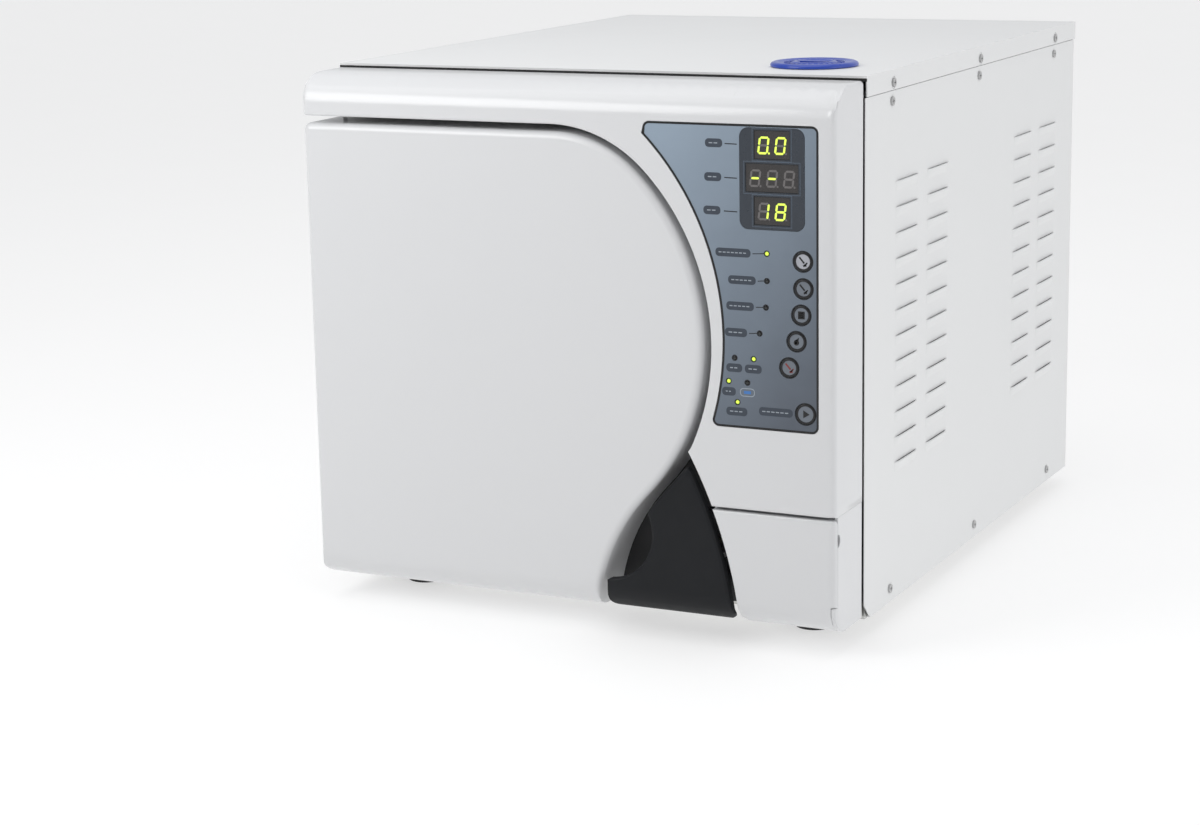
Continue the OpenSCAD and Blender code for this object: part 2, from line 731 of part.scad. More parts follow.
module tray_rack() {
  cx = chamber_c[0];
  y0 = flange_face + 20;
  y1 = chamber_end - 20;
  color("silver") {
    for (s = [-1, 1]) difference() {
      union() {
        block([cx + s * rack_half - 0.75, y0, 138], [cx + s * rack_half + 0.75, y1, 306]);
        for (i = [0:2]) {
          z = tray_z0 + i * tray_pitch;
          block([min(cx + s * rack_half, cx + s * (rack_half - 9)), y0, z],
                [max(cx + s * rack_half, cx + s * (rack_half - 9)), y1, z + 1.5]);
        }
      }
      for (i = [0:2], j = [0:3])
        block([cx + s * rack_half - 2, y0 + 20 + 72 * j, tray_z0 + i * tray_pitch + 16],
              [cx + s * rack_half + 2, y0 + 70 + 72 * j, tray_z0 + i * tray_pitch + 36]);
    }
    for (y = [y0 + 6, y1 - 6]) rod_x([y, 302], 3, cx - rack_half, cx + rack_half);
    for (y = [y0 + 6, y1 - 6]) rod_x([y, 146], 3, cx - rack_half, cx + rack_half);
  }
}

module instrument_trays() {
  cx = chamber_c[0];
  y0 = flange_face + 24;
  y1 = chamber_end - 24;
  half = rack_half - 1.4;
  color("silver") for (i = [0:tray_count - 1]) {
    z = tray_z0 + i * tray_pitch + 1.6;
    difference() {
      block([cx - half, y0, z], [cx + half, y1, z + 14]);
      block([cx - half + 1.2, y0 + 1.2, z + 1.2], [cx + half - 1.2, y1 - 1.2, z + 15]);
      for (x = [-60:24:60], y = [0:5])
        block([cx + x - 7, y0 + 14 + 48 * y, z - 1], [cx + x + 7, y0 + 44 + 48 * y, z + 2]);
    }
  }
}

// ---------------------------------------------------------------- plant

module steam_generator() {
  at = [150, 205];
  color("silver") {
    rod_z(at, 34, 80, 190);
    rod_z(at, 30, 189, 198);
    rod_z(at, 6, 197, 212);
    for (a = [0:120:240]) rod_z(at + 38 * [cos(a), sin(a)], 4, foot_h + 1.6, 82);
    rod_z(at, 43, 76, 82);
  }
}

module vacuum_pump() {
  color("slategray") {
    rod_y([140, 85], 34, -60, 60);
    block([104, 40, 45], [176, 130, 130]);
    block([110, -50, foot_h + 1.6], [170, 125, 52]);
    rod_y([140, 85], 30, -75, -59);
    rod_z([125, 85], 9, 128, 145);
    rod_z([155, 85], 9, 128, 145);
  }
}

module water_pump() {
  color("darkslategray") {
    rod_y([-140, 45], 20, 150, 215);
    block([-158, 158, foot_h + 1.6], [-122, 205, 30]);
    block([-158, 214, 27], [-122, 240, 63]);
  }
}

module condenser_coil() {
  pitch = 20;
  color("peru") {
    for (i = [0:7]) rod_x([218, 232 + i * pitch], 4, 62, 158);
    for (i = [0:6]) translate([i % 2 == 0 ? 158 : 62, 218, 242 + i * pitch])
      rotate([90, i % 2 == 0 ? 90 : -90, 0]) rotate_extrude(angle = 180) translate([10, 0]) circle(4);
    for (i = [0:11]) block([66 + 8 * i, 206, 224], [66.8 + 8 * i, 230, 380]);
  }
}

module fan_frame() {
  h = 60;
  color("dimgray") difference() {
    union() {
      difference() {
        block([fan_at[0] - h, fan_y[0], fan_at[1] - h], [fan_at[0] + h, fan_y[1] + 1.7, fan_at[1] + h]);
        rod_y(fan_at, fan_r + 1.5, fan_y[0] - 1, fan_y[1] + 3);
      }
      for (a = [45:90:315]) translate([fan_at[0], 0, fan_at[1]]) rotate([0, a, 0])
        block([10, fan_y[0], -3], [fan_r + 3, fan_y[0] + 4, 3]);
      rod_y(fan_at, 18, fan_y[0], fan_y[0] + 4);
      rod_y(fan_at, 5, fan_y[0] + 3, fan_y[0] + 14);
      fan_guard();
    }
    rod_y(fan_at, 2.5 + fit, fan_y[0] + 2, fan_y[0] + 15);
  }
}

// Wire guard over the fan's outlet
module fan_guard() {
  y = cab_back + 1.6;
  for (r = [16:12:52]) lathe_y(fan_at) translate([r, y]) circle(1.1, $fn = 16);
  for (a = [45:90:315]) translate([fan_at[0], 0, fan_at[1]]) rotate([0, a, 0])
    rod_x([y + 1.6, 0], 1.2, 14, guard_r + 2);
  for (a = [45:90:315])
    rod_y(fan_at + guard_r * [cos(a), sin(a)], 2, fan_y[1] + 1, y + 2);
}

module fan_rotor() {
  y0 = fan_y[0] + 4.6;
  color("black") difference() {
    union() {
      rod_y(fan_at, 19, y0 + 1, y0 + 24);
      for (a = [0:360 / 7:359]) translate([fan_at[0], 0, fan_at[1]]) rotate([0, a, 0])
        translate([0, y0 + 13, 0]) rotate([38, 0, 0])
          block([17, -11, -1], [fan_r - 1, 11, 1]);
    }
    rod_y(fan_at, 16, y0, y0 + 21);
  }
  color("silver") rod_y(fan_at, 2.5, fan_y[0] + 5, y0 + 22);
}

module water_tank() {
  lo = [97, -224, 216];
  hi = [217, 30, 420];
  w = 2.5;
  color("lightblue") difference() {
    block(lo, hi);
    block(lo + [w, w, w], [hi[0] - w, -98, hi[2] + 1]);
    block([lo[0] + w, -95, lo[2] + w], [hi[0] - w, hi[1] - w, hi[2] + 1]);
    rod_z([cap_at[0], -160], 5, lo[2] - 1, lo[2] + 5);
    rod_z([cap_at[0], -30], 5, lo[2] - 1, lo[2] + 5);
  }
}

module filler_neck() {
  color("white") difference() {
    union() {
      rod_z(cap_at, 23.6, 410, cab_top);
      rod_z(cap_at, 30, cab_top - 4, cab_top - sheet - 0.1);
    }
    rod_z(cap_at, 21, 409, cab_top + 1);
  }
}

module filler_cap() {
  z0 = cab_top + 0.3;
  color("royalblue") translate([cap_at[0], cap_at[1], 0]) {
    rotate_extrude() polygon([[0, z0], [cap_r - 0.6, z0], [cap_r, z0 + 0.6], [cap_r, z0 + 2],
      [cap_r - 1.5, z0 + 3.2], [cap_r - 5, z0 + 3.7], [cap_r - 8, z0 + 2.6], [0, z0 + 2.6]]);
    difference() {
      translate([0, 0, cab_top - 8]) cylinder(r = 20.6, h = 8.4);
      translate([0, 0, cab_top - 9]) cylinder(r = 18.6, h = 9.2);
    }
    translate([0, 0, z0 + 2]) difference() {
      cylinder(r = 17, h = 1.4);
      translate([0, 0, -1]) cylinder(r = 14, h = 3);
    }
  }
}

module safety_valve() {
  y1 = cab_back + rear_fitting;
  color("goldenrod") difference() {
    union() {
      rod_y(safety_at, 8, chamber_end + 22.4, 250);
      rod_y(safety_at, 12, 249, y1 - 12);
      rod_y(safety_at, 9, y1 - 13, y1 - 5);
      rod_y(safety_at, 3, y1 - 6, y1 - 1);
      translate([safety_at[0], y1 - 3.5, safety_at[1]]) rotate([0, 90, 0])
        rotate_extrude() translate([0, 0]) square([3.5, 3]);
    }
    rod_y(safety_at, 4, chamber_end + 22, 245);
  }
}

module solenoid_valves() {
  color("goldenrod") block([-200, 40, 40], [-70, 62, 60]);
  color("goldenrod") for (i = [0:3]) {
    x = -188 + 33 * i;
    block([x - 10, 38, foot_h + 1.6], [x + 10, 64, 41]);
    rod_z([x, 51], 4, 59, 82);
    difference() {
      block([x - 13, 36, 61], [x + 13, 66, 79]);
      rod_z([x, 51], 3.9, 60, 80);
    }
  }
}

module power_inlet() {
  x = inlet_at[0];
  z = inlet_at[1];
  color("black") difference() {
    union() {
      block([x - 16, cab_back + 0.1, z - 29], [x + 16, cab_back + 3, z + 29]);
      block([x - 14, cab_back - 30, z - 24], [x + 14, cab_back + 1, z + 24]);
    }
    block([x - 12, cab_back - 16, z + 2], [x + 12, cab_back + 4, z + 20]);
    block([x - 9, cab_back - 2, z - 18], [x + 9, cab_back + 4, z - 6]);
  }
  color("silver") for (dx = [-7, 0, 7])
    block([x + dx - 1, cab_back - 17, z + 8], [x + dx + 1, cab_back - 3, z + 12]);
}

// ---------------------------------------------------------------- door lock

module lock_frame() {
  x = [100, 137];
  y = [bulk_rear + 2, bulk_rear + 26];
  z = [tongue_z[0] - 7, tongue_z[1] + 7];
  color("silver") difference() {
    union() {
      block([x[0], y[0], z[0]], [x[1], y[1], z[0] + 3]);
      block([x[0], y[0], z[1] - 3], [x[1], y[1], z[1]]);
      block([x[1] - 3, y[0], z[0]], [x[1], y[1], z[1]]);
      block([x[0], y[1] - 2, z[0]], [x[1], y[1], z[1]]);
      block([x[1] - 1, bulk_rear, z[0]], [x[1] + 12, bulk_rear + 2 + tiny, z[1]]);
    }
    rod_z(bolt, bolt_r + fit, z[0] - 1, z[0] + 4);
    rod_z(bolt, bolt_r + 0.4, z[1] - 4, z[1] + 1);
  }
}

module lock_bolt() {
  color("silver") {
    rod_z(bolt, bolt_r, 32, tongue_z[0] - 5.5);
    rod_z(bolt, bolt_r - 1.2, tongue_z[0] - 5.6, tongue_z[0] - 4.5);
  }
}

module lock_solenoid() {
  color("dimgray") difference() {
    union() {
      block([bolt[0] - 13, bolt[1] - 8, 22], [bolt[0] + 13, bolt[1] + 10, tongue_z[0] - 7.2]);
      block([bolt[0] - 17, bolt[1] - 8, foot_h + 1.6], [bolt[0] + 17, bolt[1] + 10, 23]);
    }
    rod_z(bolt, bolt_r + fit, 29, tongue_z[0]);
  }
}

// ---------------------------------------------------------------- door hinge

module hinge_bracket() {
  color("silver") difference() {
    union() for (z = hinge_z) {
      for (s = [-1, 1]) {
        z0 = s > 0 ? z + knuckle_h / 2 + 0.3 : z - knuckle_h / 2 - 0.3 - lug_h;
        rod_z(hinge, knuckle_r, z0, z0 + lug_h);
        block([hinge[0] - 1, hinge[1], z0], [hinge[0] + 7, bulk_front - 1, z0 + lug_h]);
      }
      block([hinge[0] - knuckle_r + 0.5, bulk_front - 3, z - 28], [hinge[0] + 14, bulk_front, z + 28]);
    }
    for (z = hinge_z) rod_z(hinge, pin_r + fit, z - 30, z + 30);
  }
}

module hinge_pins() {
  color("gray") {
    for (z = hinge_z) {
      rod_z(hinge, pin_r, z - 25.2, z + 25.5);
      rod_z(hinge, pin_r + 2, z + 25.4, z + 27.5);
    }
    rod_x(flap_axis, flap_rod_r, 165, 205);
  }
}

// ---------------------------------------------------------------- door

// Layers of the door's rounded front edge: depth and inset
edge_r = 8;
edge_steps = 4;

module door_cover() {
  color("white") difference() {
    intersection() {
      along_x(-hw - 1, hw) polygon(door_profile(0));
      linear_extrude(cab_top) polygon(front_plan(0));
      union() {
        along_y(front + edge_r, door_rear) polygon(door_outline(0));
        for (i = [0:edge_steps - 1]) {
          a = 90 * (i + 0.5) / edge_steps;
          along_y(front + edge_r * (1 - cos(90 * i / edge_steps)), front + edge_r + 0.5)
            polygon(door_outline(edge_r * (1 - sin(a)) * 0.5));
        }
      }
    }
    intersection() {
      along_x(-hw - 1, hw) polygon(door_profile(wall));
      along_y(front + wall, door_rear + 1) polygon(door_outline(wall));
    }
    // the wall beside the handle stops at the inner frame
    block([24, frame_y[0] - 0.4, 0], [140, door_rear + 1, 152]);
    // room for the hinge lugs
    for (z = hinge_z)
      block([-hw - 1, hinge[1] - 5, z - 31], [-hw + wall + 1, door_rear + 1, z + 31]);
  }
}

// Side profile of the door in Y and Z, moved in by d
function door_profile(d) =
  let (z0 = front_bottom + d, z1 = door_top - d, r = bottom_r - d, k = 5)
  concat([[door_rear + 1, z0]], arc([front + bottom_r, front_bottom + bottom_r], r, 270, 180, 10),
         arc([front + k, door_top - k], k - d, 180, 90, 5), [[door_rear + 1, z1]]);

// Region behind the handle, in X and Z
module handle_region() {
  polygon(concat([[20, front_bottom + 5], [20, 150], [86, 150]],
    arc(slant_c, slant_r - 8, asin((146 - slant_c[1]) / (slant_r - 8)),
        asin((front_bottom + 5 - slant_c[1]) / (slant_r - 8)), 12)));
}

module door_inner_frame() {
  opening_r = 146;
  ear_z = [[42, 48], [99, 104.5]];
  color("dimgray") difference() {
    union() {
      along_y(frame_y[0], frame_y[1]) difference() {
        union() {
          polygon(door_outline(wall + 0.4));
          handle_region();
        }
        translate(chamber_c) circle(opening_r);
      }
      for (e = ear_z) {
        rod_z(pivot, 4.4, e[0], e[1]);
        block([pivot[0] - 4.4, pivot[1], e[0]], [pivot[0] + 4.4, frame_y[0] + 1, e[1]]);
      }
    }
    for (e = ear_z) rod_z(pivot, pivot_r + fit, e[0] - 1, e[1] + 1);
    block([68, frame_y[0] - 1, tongue_z[0] - 5], [140, frame_y[1] + 1, tongue_z[1] + 5]);
    for (z = hinge_z) block([-hw, frame_y[0] - 1, z - 31], [-203, frame_y[1] + 1, z + 31]);
  }
}

// Corners where the arm is fixed to the inner frame
arm_feet = [[-183, 118], [-183, 346], [58, 140], [58, 332]];
arm_y = [-290, -281];

module door_arm() {
  color("dimgray") difference() {
    union() {
      for (p = arm_feet) {
        d = p - chamber_c;
        translate([chamber_c[0], 0, chamber_c[1]]) rotate([0, -atan2(d[1], d[0]), 0])
          block([0, arm_y[0], -14], [norm(d) + 6, arm_y[1], 14]);
        rod_y(p, 8, arm_y[1] - 1, frame_y[0]);
      }
      rod_y(chamber_c, 34, arm_y[0], arm_y[1]);
      block([-204, arm_y[0], hinge_z[0] - 26], [-184, arm_y[1], hinge_z[1] + 26]);
      for (z = hinge_z) {
        rod_z(hinge, knuckle_r, z - knuckle_h / 2, z + knuckle_h / 2);
        block([hinge[0] - 2, arm_y[0], z - knuckle_h / 2], [-190, hinge[1], z + knuckle_h / 2]);
      }
    }
    for (z = hinge_z) rod_z(hinge, pin_r + fit, z - 20, z + 20);
    rod_y(chamber_c, 9.1, arm_y[0] - 1, arm_y[1] + 1);
  }
}

module door_spindle() {
  color("silver") {
    rod_y(chamber_c, 9, arm_y[0] - 0.1, plate_y[0]);
    translate([chamber_c[0], arm_y[0] - 0.2, chamber_c[1]]) rotate([90, 0, 0])
      cylinder(r = 15, h = 9, $fn = 6);
    rod_y(chamber_c, 8, arm_y[0] - 1, arm_y[0]);
  }
}

plate_y = [-272, -262];

module pressure_plate() {
  color("lightsteelblue") lathe_y(chamber_c) polygon([[0, plate_y[0]], [60, plate_y[0]],
    [90, plate_y[0] + 4], [137, plate_y[0] + 4], [137, plate_y[1]], [121, plate_y[1]],
    [121, plate_y[1] + 10], [112, plate_y[1] + 13], [0, plate_y[1] + 13]]);
}

module door_seal() {
  color("orangered") difference() {
    lathe_y(chamber_c) polygon([[126, plate_y[1]], [134, plate_y[1]], [134.5, plate_y[1] + 3],
      [132, flange_face - 0.4], [128, flange_face - 0.4], [125.5, plate_y[1] + 3]]);
  }
}

module handle_pin() {
  color("silver") rod_z(pivot, pivot_r, 41, 105.5);
}

module handle_grip() {
  knuckles = [[48.4, 57.8], [82.2, 98.6]];
  color("dimgray") difference() {
    union() {
      difference() {
        intersection() {
          along_x(0, 160) polygon(front_profile(0));
          along_y(front - 1, front + 12) polygon(handle_outline());
        }
        intersection() {
          along_x(0, 160) polygon(front_profile(grip_t));
          block([0, front + grip_t, 0], [160, front + 13, 200]);
        }
      }
      for (k = knuckles) {
        rod_z(pivot, 4.6, k[0], k[1]);
        block([pivot[0] - 4.6, front + 3, k[0]], [pivot[0] + 4.6, pivot[1], k[1]]);
      }
    }
    for (k = knuckles) rod_z(pivot, pivot_r + fit, k[0] - 1, k[1] + 1);
  }
}

module latch_lever() {
  z = [58.2, 81.8];
  color("silver") difference() {
    union() {
      rod_z(pivot, 4.6, z[0], z[1]);
      block([pivot[0] - 16, front + grip_t, z[0]], [pivot[0] + 8, front + grip_t + 2.2, z[1]]);
      block([pivot[0] - 4.6, front + grip_t, z[0]], [pivot[0] + 4.6, pivot[1], z[1]]);
      block([pivot[0] - 8, pivot[1], tongue_z[0]], [pivot[0] + 8, bolt[1] + 8, tongue_z[1]]);
    }
    rod_z(pivot, pivot_r + fit, z[0] - 1, z[1] + 1);
    block([bolt[0] - 5.2, bolt[1] - 5.2, tongue_z[0] - 1], [bolt[0] + 5.2, bolt[1] + 5.2, tongue_z[1] + 1]);
  }
}

base_pan();
rubber_feet();
case_screws();
left_side_panel();
right_side_panel();
rear_panel();
top_cover();
front_bulkhead();
front_fascia();
control_overlay();
display_window();
digit_modules();
status_lights();
control_board();
service_bay();
drain_valve_bodies();
air_filter();
power_switch_housing();
hinge_bracket();
hinge_pins();
chamber_vessel();
chamber_flange();
chamber_heater();
insulation_jacket();
tray_rack();
instrument_trays();
steam_generator();
vacuum_pump();
water_pump();
condenser_coil();
fan_frame();
water_tank();
filler_neck();
safety_valve();
solenoid_valves();
power_inlet();
lock_frame();
lock_solenoid();
door_cover();
door_inner_frame();
pressure_plate();
door_seal();
door_arm();
door_spindle();
handle_pin();
handle_grip();
latch_lever();
lock_bolt();
service_door();
clean_drain_knob();
used_drain_knob();
power_rocker();
filler_cap();
fan_rotor();
program_button(1);  // program_button_1
program_button(2);  // program_button_2
program_button(3);  // program_button_3
program_button(4);  // program_button_4
program_button(5);  // program_button_5
start_button();
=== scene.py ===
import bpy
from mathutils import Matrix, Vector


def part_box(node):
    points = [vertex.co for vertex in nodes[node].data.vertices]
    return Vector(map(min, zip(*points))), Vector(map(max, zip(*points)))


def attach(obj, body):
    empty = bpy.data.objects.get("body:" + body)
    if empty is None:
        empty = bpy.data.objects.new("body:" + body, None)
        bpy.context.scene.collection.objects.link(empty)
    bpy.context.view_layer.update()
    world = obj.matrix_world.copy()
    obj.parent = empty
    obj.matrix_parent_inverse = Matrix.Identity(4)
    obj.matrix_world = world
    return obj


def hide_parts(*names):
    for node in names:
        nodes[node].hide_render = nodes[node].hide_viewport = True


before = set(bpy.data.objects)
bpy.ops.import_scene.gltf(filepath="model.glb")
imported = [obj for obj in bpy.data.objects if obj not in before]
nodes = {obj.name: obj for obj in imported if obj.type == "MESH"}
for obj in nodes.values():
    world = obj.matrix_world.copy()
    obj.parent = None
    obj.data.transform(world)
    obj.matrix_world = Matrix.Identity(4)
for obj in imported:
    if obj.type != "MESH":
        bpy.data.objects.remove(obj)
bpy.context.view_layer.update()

import math
import bpy
import bmesh
from mathutils import Matrix, Vector
from mathutils.geometry import delaunay_2d_cdt

MM = 0.001
scene = bpy.context.scene
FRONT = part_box("front_fascia")[0].y * 1000
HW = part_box("front_fascia")[1].x * 1000
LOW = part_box("door_cover")[0].z * 1000
CAB_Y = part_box("top_cover")[0].y * 1000

# ------------------------------------------------------------------ camera
YAW, PITCH, ROLL = math.radians(26.241), math.radians(12.527), math.radians(-1.1)
EYE, LENS, SENSOR = (0.9089, -2.0852, 0.6175), 79.46, 36.0
fwd = Vector((-math.sin(YAW) * math.cos(PITCH), math.cos(YAW) * math.cos(PITCH), -math.sin(PITCH)))
right = Vector((math.cos(YAW), math.sin(YAW), 0))
up = right.cross(fwd)
rolled_right = right * math.cos(ROLL) + up * math.sin(ROLL)
rolled_up = up * math.cos(ROLL) - right * math.sin(ROLL)
cam_data = bpy.data.cameras.new("camera")
cam_data.lens, cam_data.sensor_width = LENS, SENSOR
cam_data.clip_start, cam_data.clip_end = 0.05, 50
cam = bpy.data.objects.new("camera", cam_data)
scene.collection.objects.link(cam)
turn = Matrix((rolled_right, rolled_up, -fwd)).transposed().to_4x4()
cam.matrix_world = Matrix.Translation(EYE) @ turn
scene.camera = cam

# ------------------------------------------------------------------ sky and lights
SKY_TOWARDS, SKY_DARK, SKY_BRIGHT = (0.45, 0.75, 0.25), 0.10, 0.82
scene.view_settings.view_transform = "Standard"
world = bpy.data.worlds.new("studio")
scene.world = world
world.use_nodes = True
sky = world.node_tree
direction = sky.nodes.new("ShaderNodeTexCoord")
axis = sky.nodes.new("ShaderNodeVectorMath")
axis.operation = "DOT_PRODUCT"
axis.inputs[1].default_value = SKY_TOWARDS
tone = sky.nodes.new("ShaderNodeMapRange")
tone.inputs["From Min"].default_value, tone.inputs["From Max"].default_value = -0.8, 0.8
tone.inputs["To Min"].default_value, tone.inputs["To Max"].default_value = SKY_DARK, SKY_BRIGHT
sky.links.new(direction.outputs["Generated"], axis.inputs[0])
sky.links.new(axis.outputs["Value"], tone.inputs["Value"])
sky.links.new(tone.outputs["Result"], sky.nodes["Background"].inputs["Strength"])
sky.nodes["Background"].inputs["Color"].default_value = (0.97, 0.98, 1.0, 1)


def softbox(name, at, aim, size, power):
    """A rectangular light of the given watts, turned towards a point."""
    data = bpy.data.lights.new(name, "AREA")
    data.shape, data.size, data.size_y = "RECTANGLE", size[0], size[1]
    data.energy = power
    ob = bpy.data.objects.new(name, data)
    scene.collection.objects.link(ob)
    ob.location = at
    ob.rotation_euler = (Vector(aim) - Vector(at)).to_track_quat("-Z", "Y").to_euler()


softbox("top_box", (-0.2, -0.5, 2.5), (0, 0.0, 0.4), (2.4, 2.2), 22)
softbox("right_box", (2.8, -0.4, 0.75), (0.2, 0.0, 0.3), (1.8, 1.0), 10)
softbox("near_box", (-0.62, -1.15, 0.98), (-0.12, -0.3, 0.34), (0.7, 0.6), 7)


# ------------------------------------------------------------------ materials
class Graph:
    """A small helper that builds a Principled material from nodes."""

    def __init__(self, name):
        self.mat = bpy.data.materials.new(name)
        self.mat.use_nodes = True
        self.tree = self.mat.node_tree
        self.bsdf = self.tree.nodes["Principled BSDF"]
        self.coord = self.add("ShaderNodeTexCoord").outputs["Object"]

    def add(self, kind, **props):
        n = self.tree.nodes.new(kind)
        for k, v in props.items():
            setattr(n, k, v)
        return n

    def link(self, a, b):
        self.tree.links.new(a, b)

    def scaled(self, scale):
        m = self.add("ShaderNodeMapping")
        m.inputs["Scale"].default_value = scale
        self.link(self.coord, m.inputs["Vector"])
        return m.outputs["Vector"]

    def noise(self, scale, detail=4.0, rough=0.55, stretch=None):
        n = self.add("ShaderNodeTexNoise")
        n.inputs["Scale"].default_value = scale
        n.inputs["Detail"].default_value = detail
        n.inputs["Roughness"].default_value = rough
        self.link(self.scaled(stretch) if stretch else self.coord, n.inputs["Vector"])
        return n.outputs["Fac"]

    def span(self, value, a, b, lo=0.3, hi=0.7):
        m = self.add("ShaderNodeMapRange")
        m.inputs["From Min"].default_value, m.inputs["From Max"].default_value = lo, hi
        m.inputs["To Min"].default_value, m.inputs["To Max"].default_value = a, b
        self.link(value, m.inputs["Value"])
        return m.outputs["Result"]

    def mix(self, fac, a, b):
        m = self.add("ShaderNodeMix", data_type="RGBA")
        self.link(fac, m.inputs[0])
        for socket, v in ((m.inputs[6], a), (m.inputs[7], b)):
            if isinstance(v, tuple):
                socket.default_value = (*v, 1)
            else:
                self.link(v, socket)
        return m.outputs[2]

    def bump(self, height, strength, distance, chain=None):
        n = self.add("ShaderNodeBump")
        n.inputs["Strength"].default_value = strength
        n.inputs["Distance"].default_value = distance
        self.link(height, n.inputs["Height"])
        if chain is not None:
            self.link(chain, n.inputs["Normal"])
        return n.outputs["Normal"]


def shade(c, k):
    """A colour made lighter or darker."""
    return tuple(min(1.0, max(0.0, v * k)) for v in c)


def material(name, base, rough=0.4, metal=0.0, coat=0.0, var=0.04, var_scale=9.0, rvar=0.06,
             grain=900.0, bump=0.15, depth=0.00008, wave=0.0, stretch=None, spec=0.5, tint=None):
    """A surface whose colour and roughness drift a little (var, rvar), with a fine grain and a slow wave."""
    g = Graph(name)
    b = g.bsdf
    b.inputs["Metallic"].default_value = metal
    b.inputs["Coat Weight"].default_value = coat
    b.inputs["Coat Roughness"].default_value = 0.12
    b.inputs["Specular IOR Level"].default_value = spec
    cloud = g.noise(var_scale, 5)
    colour = g.mix(g.span(cloud, 0, 1), shade(base, 1 - var), tint or shade(base, 1 + var))
    g.link(colour, b.inputs["Base Color"])
    g.link(g.span(g.noise(var_scale * 4.3, 6, 0.6, stretch), rough - rvar, rough + rvar), b.inputs["Roughness"])
    fine = g.noise(grain, 3, 0.5, stretch)
    normal = g.bump(fine, bump, depth)
    if wave:
        normal = g.bump(g.noise(14, 2, 0.4), wave, 0.0008, normal)
    g.link(normal, b.inputs["Normal"])
    return g.mat


def brushed(name, base, rough=0.3, along=0, var=0.06):
    """Metal with fine lines along one axis."""
    stretch = [60.0, 60.0, 60.0]
    stretch[along] = 1.0
    return material(name, base, rough, 1.0, var=var, var_scale=14, rvar=0.09, grain=22,
                    bump=0.22, depth=0.00006, stretch=tuple(stretch))


M = {
    "moulding": material("white_moulding", (0.70, 0.705, 0.715), 0.33, coat=0.3, var=0.008, var_scale=3,
                         rvar=0.02, grain=1500, bump=0.04, depth=0.00003, wave=0.03),
    "powder": material("powder_coat", (0.78, 0.785, 0.785), 0.46, var=0.008, var_scale=5, rvar=0.02,
                       grain=1100, bump=0.2, depth=0.00006, wave=0.02),
    "charcoal": material("charcoal_grip", (0.010, 0.011, 0.013), 0.50, var=0.10, var_scale=12, rvar=0.06,
                         grain=1800, bump=0.25, depth=0.00005, spec=0.22),
    "black": material("black_moulding", (0.018, 0.018, 0.020), 0.52, var=0.15, grain=1400, bump=0.3,
                      depth=0.00006),
    "gloss_black": material("gloss_black", (0.012, 0.012, 0.013), 0.22, coat=0.4, var=0.1, grain=900,
                            bump=0.05),
    "rubber": material("foot_rubber", (0.022, 0.021, 0.021), 0.72, var=0.2, var_scale=30, grain=700, bump=0.4,
                       depth=0.0001, spec=0.3),
    "screw": brushed("screw_steel", (0.52, 0.52, 0.52), 0.34, 2),
    "zinc": material("zinc_plate", (0.55, 0.56, 0.57), 0.36, 1.0, var=0.10, var_scale=26, rvar=0.10, grain=300,
                     bump=0.12, depth=0.00006, tint=(0.63, 0.63, 0.60)),
    "stainless": brushed("stainless", (0.66, 0.665, 0.67), 0.24, 1),
    "heater": material("heater_mat", (0.42, 0.09, 0.035), 0.6, var=0.12, grain=500, bump=0.3),
    "wool": material("glass_wool", (0.62, 0.54, 0.33), 0.95, var=0.25, var_scale=60, grain=380, bump=0.9,
                     depth=0.0012, spec=0.1),
    "casting": material("painted_casting", (0.035, 0.040, 0.046), 0.48, var=0.14, var_scale=20, grain=420,
                        bump=0.45, depth=0.00025),
    "copper": brushed("copper", (0.70, 0.33, 0.18), 0.26, 0, 0.10),
    "brass": brushed("brass", (0.66, 0.48, 0.20), 0.28, 2, 0.08),
    "coil": material("coil_moulding", (0.015, 0.017, 0.02), 0.45, var=0.2, grain=900, bump=0.3),
    "silicone": material("seal_silicone", (0.66, 0.60, 0.52), 0.55, var=0.06, var_scale=25, grain=800,
                         bump=0.2),
    "tank": material("tank_plastic", (0.70, 0.75, 0.77), 0.38, var=0.05, var_scale=8, grain=500, bump=0.15),
    "board": material("circuit_board", (0.012, 0.085, 0.035), 0.38, var=0.30, var_scale=90, grain=700,
                      bump=0.3),
    "filter": material("filter_white", (0.80, 0.80, 0.77), 0.5, var=0.05, grain=900, bump=0.2),
    "blue": material("cap_blue", (0.018, 0.060, 0.42), 0.33, coat=0.25, var=0.10, var_scale=24, rvar=0.07,
                     grain=1200, bump=0.15),
    "grey_knob": material("knob_grey", (0.20, 0.21, 0.22), 0.35, coat=0.2, var=0.06, grain=900, bump=0.15),
}


def polish(name, mat, width=0.4, segments=2, angle=35):
    """Gives a CAD node its material and small rounded edges."""
    ob = nodes[name]
    ob.data.materials.clear()
    ob.data.materials.append(mat)
    if width:
        flat = ob.modifiers.new("flat", "DECIMATE")
        flat.decimate_type, flat.angle_limit = "DISSOLVE", math.radians(0.8)
        bev = ob.modifiers.new("edge", "BEVEL")
        bev.width, bev.segments, bev.limit_method = width * MM, segments, "ANGLE"
        bev.angle_limit, bev.harden_normals = math.radians(angle), True
        bev.use_clamp_overlap = True


# How far below the cover's top, and how far behind its front face, the painted shade band on the top cover
# reaches.
SHADE_BAND_DROP, SHADE_BAND_DEPTH = 0.0017, 0.0006


